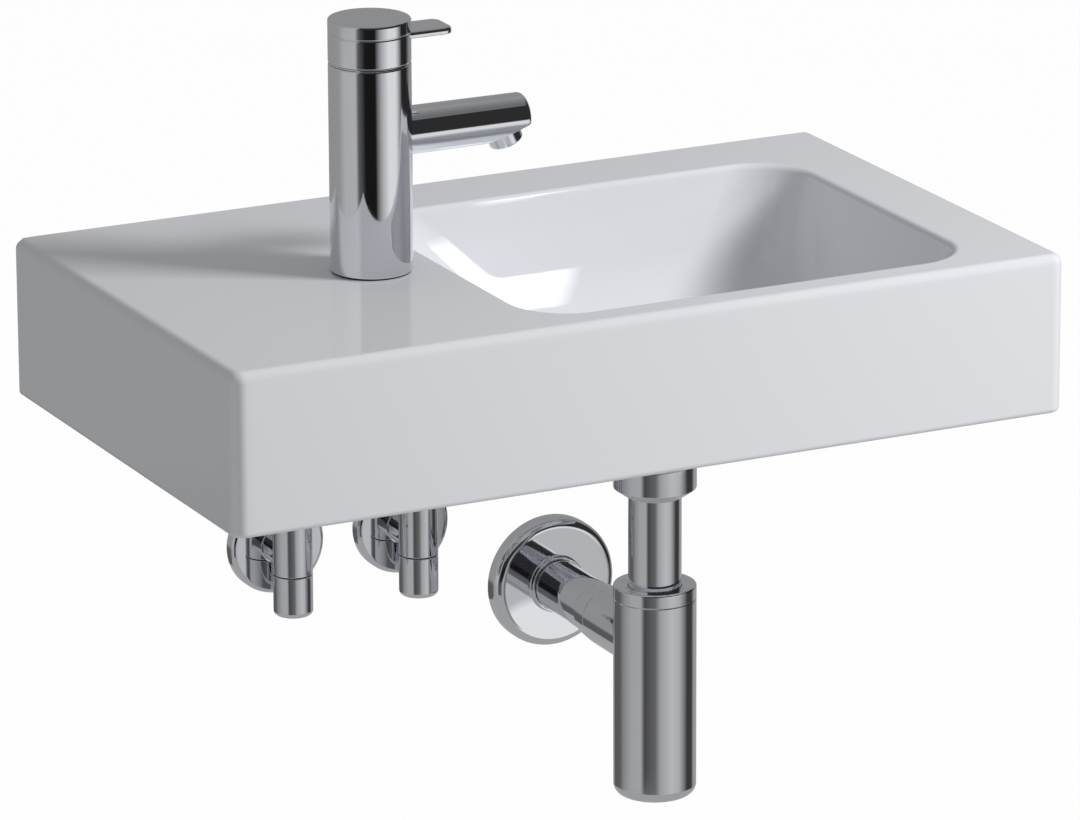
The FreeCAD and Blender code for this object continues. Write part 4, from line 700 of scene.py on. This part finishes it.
def valve(side):
    """Angle valve: barrel with its arm, rosette, compression nut and knob."""
    spot = middle(side + "_valve_knob")
    upright = (spot[0], spot[1], 0.0)
    arm_z = middle(side + "_valve_rosette")[2]
    base, top = low(side + "_valve_body")[2], high(side + "_valve_body")[2]
    shoulder = top - SPIGOT_RISE
    inside = base + BARREL_DEEP
    barrel = eased([(0, inside, 0), (BARREL_BORE, inside, 0), (BARREL_BORE, base, 0.2), (BARREL_R, base, 0.5),
                    (BARREL_R, shoulder, 0.8), (SPIGOT_R, shoulder, 0.2), (SPIGOT_R, top, 0.3),
                    (SPIGOT_BORE, top, 0.2), (SPIGOT_BORE, shoulder, 0), (0, shoulder, 0)], closed=False)
    body = turned(side + "_valve_barrel", barrel, upright, closed=False)
    wall = -spot[1]
    end = wall + INLET_LONG
    blind = wall - 6.0
    arm = eased([(0, 4.0, 0), (INLET_R, 4.0, 0), (INLET_R, wall, 0.3), (INLET_THREAD, wall + 0.1, 0),
                 (INLET_THREAD, end, 0.6), (INLET_BORE, end, 0.3), (INLET_BORE, blind, 0), (0, blind, 0)],
                closed=False)
    carve(body, turned("valve_arm", arm, (spot[0], spot[1], arm_z), "wall", closed=False, steps=112), "UNION")
    settle(body, "basin", "chrome", side + "_valve_body")
    rim, face, way = 30.5, 9.0, 11.3
    wall_cover(side + "_valve_cover", side + "_valve_rosette", (spot[0], 0.0, arm_z), rim, face, 3.0,
               [(way, face, 0.4)])
    nut_lo, nut_hi = low(side + "_valve_nut")[2], high(side + "_valve_nut")[2]
    nut = hexagon_nut(side + "_olive_nut", SPIGOT_R + 0.05, PIPE_R + 0.1, spot, nut_lo, nut_hi)
    settle(nut, "basin", "chrome", side + "_valve_nut")
    knob_lo, knob_hi = low(side + "_valve_knob")[2], high(side + "_valve_knob")[2]
    spindle, deep = 3.05, knob_hi - 14.0
    grip = eased([(0, knob_lo, 0), (BARREL_R, knob_lo, 3.2), (BARREL_R, knob_hi, 0.5),
                  (spindle, knob_hi, 0.2), (spindle, deep, 0), (0, deep, 0)], closed=False)
    knob = turned(side + "_valve_grip", grip, upright, closed=False)
    settle(knob, side + "_knob", "chrome", side + "_valve_knob")


# mixer tap

TAP_R = 24.0
CARTRIDGE_R = 18.2
CARTRIDGE_DEEP = 28.0
FIT_GAP = 0.05
SPOUT_ROOT = 14.2
SPOUT_TIP = 13.7
SPOUT_EASE = 3.0
NOZZLE_REACH = 81.0
NOZZLE_FACE = 15.5
NOZZLE_LENGTH = 12.0
NOZZLE_ROOM = 1.5
NOZZLE_R = 10.0
NOZZLE_BORE = 8.4
NOZZLE_MOUTH = 7.4
NOZZLE_LEAN = math.radians(23.0)
HEEL = 8.0
CUTTER = 30.0
PIVOT_DROP = 12.0
SWING = 26.8
STEM_R = 4.55
STEM_TOP = 35.1
TAB_DROP = 8.2
TAB_THICK = 4.2
TAB_ROOT = 12.5
TAB_TIP = 12.0
TAB_CORNER = 6.0
TAB_EASE = 2.0
TAB_UNDER_EASE = 0.6
GROOVE = 0.36
CAP_EASE = 1.2
PLUG_R = 3.05


def mixer():
    """Upright body and level spout: the spout starts on a saddle that follows the body's round wall, and each
    ring along it has a radius that falls evenly from root to tip. Its heel and the nozzle's seat are cut out
    of it."""
    lo, hi = low("tap_body")[2], high("tap_body")[2]
    floor_z = hi - CARTRIDGE_DEEP
    wall = eased([(0, lo, 0), (TAP_R, lo, 0.6), (TAP_R, hi, 0.9), (CARTRIDGE_R, hi, 0.3),
                  (CARTRIDGE_R, floor_z, 0), (0, floor_z, 0)], closed=False)
    settle(turned("tap_pillar", wall, ON_TAP, closed=False), "basin", "chrome", "tap_body")
    axis_z = middle("tap_spout")[2]
    tip = high("tap_spout")[0] - TAP[0]
    angle = np.linspace(0, 2 * np.pi, STEPS, endpoint=False)
    sides = np.cos(angle)

    def girth(along):
        return SPOUT_ROOT + (SPOUT_TIP - SPOUT_ROOT) * along / tip

    def ring_at(along, far):
        return np.stack([np.broadcast_to(along, angle.shape), far * sides, far * np.sin(angle)], -1)

    def saddle(far):
        return np.sqrt((TAP_R + FIT_GAP) ** 2 - (far * sides) ** 2)

    root = girth(TAP_R)
    rows = [ring_at(saddle(far), far) for far in (0.0, 4.0, 8.0, 11.0, 13.0, root - HOLD, root)]
    rows.append(ring_at(saddle(root) + HOLD, root))
    start = TAP_R + 4.0
    end = eased([(girth(start), start, 0), (SPOUT_TIP, tip, SPOUT_EASE), (0, tip, 0)], closed=False)
    rows += [ring_at(along, far) for far, along in end]
    spout = surface("tap_outlet", np.stack(rows) + np.array([TAP[0], TAP[1], axis_z]), False)
    face = Matrix.Translation(Vector((TAP[0] + NOZZLE_REACH, TAP[1], axis_z)) * MM)
    face = face @ Matrix.Rotation(-NOZZLE_LEAN, 4, "Y") @ Matrix.Translation((0.0, 0.0, -NOZZLE_FACE * MM))
    lift = NOZZLE_FACE - HEEL
    deep = NOZZLE_LENGTH + NOZZLE_ROOM
    seat_r = NOZZLE_R + FIT_GAP
    cutter = np.array([(0, lift - CUTTER), (CUTTER, lift - CUTTER), (CUTTER, lift), (seat_r, lift),
                       (seat_r, deep), (0, deep)])
    seat = turned("nozzle_seat", cutter, (0.0, 0.0, 0.0), closed=False, steps=96)
    seat.data.transform(face)
    carve(spout, seat, "DIFFERENCE")
    settle(spout, "basin", "chrome", "tap_spout")
    case = eased([(NOZZLE_MOUTH, 0, 0.25), (NOZZLE_R, 0, 0.9), (NOZZLE_R, NOZZLE_LENGTH, 0.2),
                  (NOZZLE_BORE, NOZZLE_LENGTH, 0.1), (NOZZLE_BORE, 1.0, 0), (NOZZLE_MOUTH, 1.0, 0.1)])
    nozzle = turned("nozzle_ring", case, (0.0, 0.0, 0.0))
    nozzle.data.transform(face)
    settle(nozzle, "basin", "chrome", "aerator_housing")


def lever():
    """Drum with a flat tab part of the way up: each row is a circle, and over the tab's thickness it is the
    larger of the circle and the tapered tab along each ray; a fine groove runs round above the tab."""
    lo, hi = low("handle_cap"), high("handle_cap")
    tab = hi[0] - TAP[0]
    base, crown = lo[2], hi[2]
    top = crown - TAB_DROP
    under = top - TAB_THICK
    pivot = high("tap_body")[2] - PIVOT_DROP
    side_angle = math.atan2(TAB_ROOT, math.sqrt(TAP_R ** 2 - TAB_ROOT ** 2))
    tip_angle = math.atan2(TAB_TIP, tab)
    fine = np.concatenate([np.linspace(side_angle - 0.09, side_angle + 0.03, 25),
                           np.linspace(tip_angle - 0.14, tip_angle + 0.06, 36)])
    even = np.linspace(-math.pi, math.pi, STEPS, endpoint=False)
    angle = np.unique(np.round(np.concatenate([even, fine, -fine]), 5))
    line = partial(ray_row, angle)

    def outline(inset, drum):
        slope = (TAB_ROOT - TAB_TIP) / tab
        root, tip = TAB_ROOT + slope - inset, TAB_TIP - inset
        spots = [(-1.0, -root), (tab - inset, -tip), (tab - inset, tip), (-1.0, root)]
        return np.maximum(reach(angle, spots, [0.0, TAB_CORNER - inset, TAB_CORNER - inset, 0.0]), drum)

    lip = math.sqrt(SWING ** 2 - (base - pivot) ** 2)
    rows = [line(0.0, pivot + STEM_TOP), line(STEM_R, pivot + STEM_TOP),
            line(STEM_R, pivot + math.sqrt(SWING ** 2 - STEM_R ** 2))]
    for share in np.linspace(math.asin(STEM_R / SWING), math.asin(lip / SWING), 14)[1:]:
        rows.append(line(SWING * math.sin(share), pivot + SWING * math.cos(share)))
    rows += [line(TAP_R - 0.3, base), line(TAP_R - 0.09, base + 0.09), line(TAP_R, base + 0.3),
             line(TAP_R, base + 0.7), line(TAP_R, under - 0.4), line(TAP_R, under)]
    rows += [line(outline(inset, TAP_R), under + rise) for inset, rise in quarter(TAB_UNDER_EASE, 5)]
    rows += [line(outline(0.0, TAP_R), under + 1.0), line(outline(0.0, TAP_R), top - TAB_EASE - 0.3)]
    for drop, inset in quarter(TAB_EASE, 9):
        notch = GROOVE * max(0.0, 1 - drop / 0.4)
        rows.append(line(outline(inset, TAP_R - notch), top - drop))
    rows += [line(TAP_R - GROOVE, top), line(TAP_R - GROOVE, top + 0.3), line(TAP_R - 0.1, top + 0.4),
             line(TAP_R, top + 0.65), line(TAP_R, top + 1.0), line(TAP_R, crown - CAP_EASE - 0.3)]
    rows += [line(TAP_R - inset, crown - drop) for drop, inset in quarter(CAP_EASE, 7)]
    rows += [line(TAP_R - CAP_EASE - 0.3, crown), line(0.0, crown)]
    handle = surface("tap_lever", spokes(np.stack(rows), angle, TAP), False)
    plug = low("handle_index_plug")[1] - TAP[1]
    at = (TAP[0], TAP[1], middle("handle_index_plug")[2])
    bore(handle, PLUG_R, plug, TAP_R + 2.0, at, "wall", 48)
    settle(handle, "mixer_lever", "chrome", "handle_cap")


basin()
waste()
slip_nut()
dip_tube()
bottle_cap()
bottle()
outlet_gland()
wall_tube()
trap_cover()
for side in ("hot", "cold"):
    valve(side)
    supply_tail(side)
mixer()
lever()

for entry in frame["record"]["subparts"]:
    node = frame["nodes"][entry["node"]]
    node.data.materials.clear()
    node.data.materials.append(FINISHES[entry["material_slot"]])


# studio, in metres: rays that see its white, then its floor, sky, ring, canopy, cards, lamp and camera

SEEN = ("Is Camera Ray", "Is Glossy Ray", "Is Transmission Ray")
FLOOR_LEVEL = -0.80
FLOOR_SIZE = 30.0
FLOOR_SHARE = 0.98
FLOOR_MIRRORED = 0.40
AMBIENT = 0.338
RING_R = 1.3
RING_Y = -0.15
RING_BASE = FLOOR_LEVEL + 0.005
RING_TOP = 1.8
TRAP_TO_TAP = (-0.5, -0.4)
TAP_TO_OVERHEAD = (-0.13, -0.03)
CANOPY_R = 4.0
CANOPY_FRONT = (-1.2, 0.18)
CANOPY_BACK = (2.0, 0.38)
CARD_R = 1.0
KEY_AIM = Vector((0.0, -0.155, 0.0))
LENS = 251.47
VIEW_TURN, VIEW_RISE, VIEW_ROLL = math.radians(-26.40), math.radians(17.174), math.radians(-0.231)
VIEW_FROM = Vector((-1.8803, -3.9437, 1.2574))

# brightness of the ring round the object that only reflections see: (degrees right of the front, level)
BESIDE_TAP = ((-180, 0.31), (-118, 0.34), (-98, 0.49), (-67, 0.50), (-60, 0.12), (-42, 0.01), (-15, 0.01),
              (2, 0.45), (24, 0.84), (47, 0.82), (70, 0.02), (94, 0.02), (117, 0.31), (180, 0.31))
BESIDE_TRAP = ((-180, 0.11), (-142, 0.12), (-124, 0.28), (-96, 0.42), (-66, 0.44), (-54, 0.07), (-22, 0.15),
               (-8, 0.41), (24, 0.58), (46, 0.50), (74, 0.05), (94, 0.05), (109, 0.38), (180, 0.36))
OVERHEAD = ((-180, 0.31), (-110, 0.36), (-64, 0.48), (-54, 0.03), (98, 0.03), (114, 0.31), (180, 0.31))


def value_node(nodes, links, kind, first, second):
    """Arithmetic on one linked value and either a number or a second linked value."""
    step = nodes.new("ShaderNodeMath")
    step.operation = kind
    links.new(first, step.inputs[0])
    if isinstance(second, float):
        step.inputs[1].default_value = second
    else:
        links.new(second, step.inputs[1])
    return step.outputs[0]


def any_ray(nodes, links, names):
    """Value that is 1 on any of the named kinds of ray."""
    path = nodes.new("ShaderNodeLightPath")
    total = path.outputs[names[0]]
    for name in names[1:]:
        total = value_node(nodes, links, "MAXIMUM", total, path.outputs[name])
    return total


def mixed(nodes, links, share, first, second):
    """Mix of two shaders by a linked share."""
    mix = nodes.new("ShaderNodeMixShader")
    links.new(share, mix.inputs["Fac"])
    links.new(first.outputs[0], mix.inputs[1])
    links.new(second.outputs[0], mix.inputs[2])
    return mix


def emitter(name, strength):
    """Plain white glowing finish for a studio piece, with its nodes and links."""
    material = bpy.data.materials.new(name)
    material.use_nodes = True
    nodes, links = material.node_tree.nodes, material.node_tree.links
    nodes.clear()
    out = nodes.new("ShaderNodeOutputMaterial")
    glow = nodes.new("ShaderNodeEmission")
    glow.inputs["Strength"].default_value = strength
    links.new(glow.outputs[0], out.inputs["Surface"])
    material.cycles.emission_sampling = "NONE"
    return material, nodes, links


def floor():
    """Wide pale floor: mostly white to the camera and grey to reflections, with its own shade mixed in."""
    mesh = bpy.data.meshes.new("studio_floor")
    corners = [(-1, -1), (1, -1), (1, 1), (-1, 1)]
    mesh.from_pydata([(x * FLOOR_SIZE, y * FLOOR_SIZE, FLOOR_LEVEL) for x, y in corners], [], [(0, 1, 2, 3)])
    thing = bpy.data.objects.new("studio_floor", mesh)
    bpy.context.scene.collection.objects.link(thing)
    material, nodes, links = emitter("pale_floor", 1.0)
    glow = nodes["Emission"]
    mirrored = any_ray(nodes, links, ("Is Glossy Ray",))
    less = value_node(nodes, links, "MULTIPLY", mirrored, FLOOR_MIRRORED - 1.0)
    links.new(value_node(nodes, links, "ADD", less, 1.0), glow.inputs["Strength"])
    paint = nodes.new("ShaderNodeBsdfDiffuse")
    paint.inputs["Color"].default_value = (0.86, 0.86, 0.86, 1)
    share = value_node(nodes, links, "MULTIPLY", any_ray(nodes, links, SEEN), FLOOR_SHARE)
    links.new(mixed(nodes, links, share, paint, glow).outputs[0], nodes["Material Output"].inputs["Surface"])
    mesh.materials.append(material)


def world():
    """White to the camera and to reflections, and an even soft sky for everything else."""
    sky = bpy.data.worlds.new("studio")
    bpy.context.scene.world = sky
    sky.use_nodes = True
    nodes, links = sky.node_tree.nodes, sky.node_tree.links
    nodes.clear()
    out = nodes.new("ShaderNodeOutputWorld")
    white = nodes.new("ShaderNodeBackground")
    soft = nodes.new("ShaderNodeBackground")
    for light, level in ((white, 1.0), (soft, AMBIENT)):
        light.inputs["Color"].default_value = (1.0, 1.0, 1.0, 1)
        light.inputs["Strength"].default_value = level
    links.new(mixed(nodes, links, any_ray(nodes, links, SEEN), soft, white).outputs[0], out.inputs["Surface"])


def for_reflections(name, mesh, material):
    """Studio piece that shows in reflections alone."""
    mesh.materials.append(material)
    thing = bpy.data.objects.new(name, mesh)
    bpy.context.scene.collection.objects.link(thing)
    thing.visible_camera = False
    thing.visible_diffuse = False
    thing.visible_shadow = False
    thing.visible_transmission = False
    thing.visible_volume_scatter = False


def open_sheet(name, grid, faces):
    """Smooth mesh from a grid of points in metres."""
    mesh = bpy.data.meshes.new(name)
    mesh.from_pydata(grid.reshape(-1, 3).tolist(), [], faces.tolist())
    mesh.shade_smooth()
    return mesh


def dome(rise, turn):
    """Unit directions by rise above the level and turn to the right of the front."""
    rise = rise[:, None]
    return np.stack([np.cos(rise) * np.sin(turn), -np.cos(rise) * np.cos(turn), np.sin(rise) + 0 * turn], -1)


def ring():
    """Upright cylinder round the object: its level goes by direction, with one set of soft-edged panels
    beside the trap, another beside the tap and a dark front overhead."""
    turn = np.linspace(0, 2 * math.pi, 96, endpoint=False)
    rim = np.stack([RING_R * np.cos(turn), RING_R * np.sin(turn) + RING_Y], -1)
    grid = np.stack([np.column_stack([rim, np.full(len(turn), height)]) for height in (RING_BASE, RING_TOP)])
    material, nodes, links = emitter("light_ring_face", 1.0)
    where = nodes.new("ShaderNodeTexCoord")
    part = nodes.new("ShaderNodeSeparateXYZ")
    links.new(where.outputs["Object"], part.inputs["Vector"])
    behind = value_node(nodes, links, "ADD", part.outputs["Y"], -RING_Y)
    ahead = value_node(nodes, links, "MULTIPLY", behind, -1.0)
    facing = value_node(nodes, links, "ARCTAN2", part.outputs["X"], ahead)
    place = value_node(nodes, links, "ADD", value_node(nodes, links, "DIVIDE", facing, 2 * math.pi), 0.5)

    def band(stops):
        ramp = nodes.new("ShaderNodeValToRGB")
        links.new(place, ramp.inputs["Fac"])
        marks = ramp.color_ramp.elements
        for i, (degrees, level) in enumerate(stops):
            spot = degrees / 360 + 0.5
            mark = marks[i] if i < 2 else marks.new(spot)
            mark.position = spot
            mark.color = (level, level, level, 1)
        return ramp.outputs["Color"]

    def over(lower, upper, start, end):
        rise = nodes.new("ShaderNodeMapRange")
        rise.inputs["From Min"].default_value = start
        rise.inputs["From Max"].default_value = end
        links.new(part.outputs["Z"], rise.inputs["Value"])
        mix = nodes.new("ShaderNodeMix")
        mix.data_type = "RGBA"
        links.new(rise.outputs["Result"], mix.inputs["Factor"])
        links.new(lower, mix.inputs["A"])
        links.new(upper, mix.inputs["B"])
        return mix.outputs["Result"]

    beside = over(band(BESIDE_TRAP), band(BESIDE_TAP), *TRAP_TO_TAP)
    links.new(over(beside, band(OVERHEAD), *TAP_TO_OVERHEAD), nodes["Emission"].inputs["Color"])
    for_reflections("light_ring", open_sheet("light_ring", grid, quads(*grid.shape[:2], False)), material)


def painted_light_card(name, spot, halo, turns, rises, strength):
    """Part of a sphere round one spot, between two directions right of the front and two above the level. The
    way to the spot is square to the card all over it. The card shows only square on and from no nearer than
    the spot, so it is seen from round the spot alone, fades over the halo and is clear to everything else.
    It glows though it is no lamp: it paints light onto the surface round that spot alone."""
    turn = np.radians(np.linspace(*turns, 61))
    rise = np.radians(np.linspace(*rises, 61))
    grid = np.array(spot) + CARD_R * dome(rise, turn)
    faces = quads(len(rise), len(turn), False).reshape(len(rise) - 1, len(turn), 4)[:, :-1].reshape(-1, 4)
    material, nodes, links = emitter(name + "_face", strength)
    slant = nodes.new("ShaderNodeLayerWeight")
    near = nodes.new("ShaderNodeMapRange")
    near.inputs["From Min"].default_value = (halo[0] / CARD_R) ** 2 / 2
    near.inputs["From Max"].default_value = (halo[1] / CARD_R) ** 2 / 2
    near.inputs["To Min"].default_value = 1.0
    near.inputs["To Max"].default_value = 0.0
    links.new(slant.outputs["Facing"], near.inputs["Value"])
    path = nodes.new("ShaderNodeLightPath")
    away = value_node(nodes, links, "GREATER_THAN", path.outputs["Ray Length"], CARD_R - 2 * halo[1])
    share = value_node(nodes, links, "MULTIPLY", near.outputs["Result"], away)
    clear = nodes.new("ShaderNodeBsdfTransparent")
    mix = mixed(nodes, links, share, clear, nodes["Emission"])
    links.new(mix.outputs[0], nodes["Material Output"].inputs["Surface"])
    for_reflections(name, open_sheet(name, grid, faces), material)


def canopy():
    """Half sphere over the studio, dark above the front and lighter above the back."""
    turn = np.linspace(0, 2 * math.pi, 48, endpoint=False)
    grid = CANOPY_R * dome(np.linspace(0, math.pi / 2, 13), turn)
    material, nodes, links = emitter("canopy_face", 1.0)
    where = nodes.new("ShaderNodeTexCoord")
    part = nodes.new("ShaderNodeSeparateXYZ")
    shade = nodes.new("ShaderNodeMapRange")
    shade.inputs["From Min"].default_value, shade.inputs["To Min"].default_value = CANOPY_FRONT
    shade.inputs["From Max"].default_value, shade.inputs["To Max"].default_value = CANOPY_BACK
    links.new(where.outputs["Object"], part.inputs["Vector"])
    links.new(part.outputs["Y"], shade.inputs["Value"])
    links.new(shade.outputs["Result"], nodes["Emission"].inputs["Strength"])
    for_reflections("canopy", open_sheet("canopy", grid, quads(*grid.shape[:2], False)), material)


def softbox(name, azimuth, elevation, distance, size, power):
    """Square soft lamp that looks at the basin from degrees right of the front and above the level."""
    lamp = bpy.data.lights.new(name, "AREA")
    lamp.shape = "SQUARE"
    lamp.size = size
    lamp.energy = power
    thing = bpy.data.objects.new(name, lamp)
    bpy.context.scene.collection.objects.link(thing)
    turn, rise = math.radians(azimuth), math.radians(elevation)
    away = Vector((math.sin(turn) * math.cos(rise), -math.cos(turn) * math.cos(rise), math.sin(rise)))
    thing.location = KEY_AIM + away * distance
    thing.rotation_mode = "QUATERNION"
    thing.rotation_quaternion = (-away).to_track_quat("-Z", "Y")
    thing.visible_glossy = False


def camera():
    """Long lens from the front left, a little above, placed by the basin's straight edges."""
    lens = bpy.data.cameras.new("view")
    lens.sensor_width = 36.0
    lens.lens = LENS
    lens.clip_start = 0.1
    lens.clip_end = 100.0
    thing = bpy.data.objects.new("view", lens)
    bpy.context.scene.collection.objects.link(thing)
    back = Vector((math.sin(VIEW_TURN) * math.cos(VIEW_RISE), -math.cos(VIEW_TURN) * math.cos(VIEW_RISE),
                   math.sin(VIEW_RISE)))
    right = Vector((math.cos(VIEW_TURN), math.sin(VIEW_TURN), 0.0))
    up = back.cross(right)
    across = right * math.cos(VIEW_ROLL) + up * math.sin(VIEW_ROLL)
    upward = up * math.cos(VIEW_ROLL) - right * math.sin(VIEW_ROLL)
    place = Matrix((across, upward, back)).transposed().to_4x4()
    place.translation = VIEW_FROM
    thing.matrix_world = place
    bpy.context.scene.camera = thing


floor()
world()
ring()
canopy()
# painted highlight: a glowing card, no lamp, that shows as a white patch on the bowl's back wall near its
# left corner, seen from round that spot alone
painted_light_card("bowl_painted_highlight", (0.028, -0.058, 0.008), (0.033, 0.045), (10.0, 75.0), (9.5, 55.0), 8.0)
# painted reflection: a dim glowing card, no lamp, that shows as a pale patch round the trap's wall cover,
# seen from round that spot alone
painted_light_card("cover_painted_reflection", (0.082, -0.012, -0.272), (0.046, 0.052), (10.0, 45.0), (-35.0, 0.0), 0.9)
softbox("key", 50.0, 35.0, 2.4, 0.6, 45.5)
camera()
bpy.context.scene.view_settings.view_transform = "Standard"
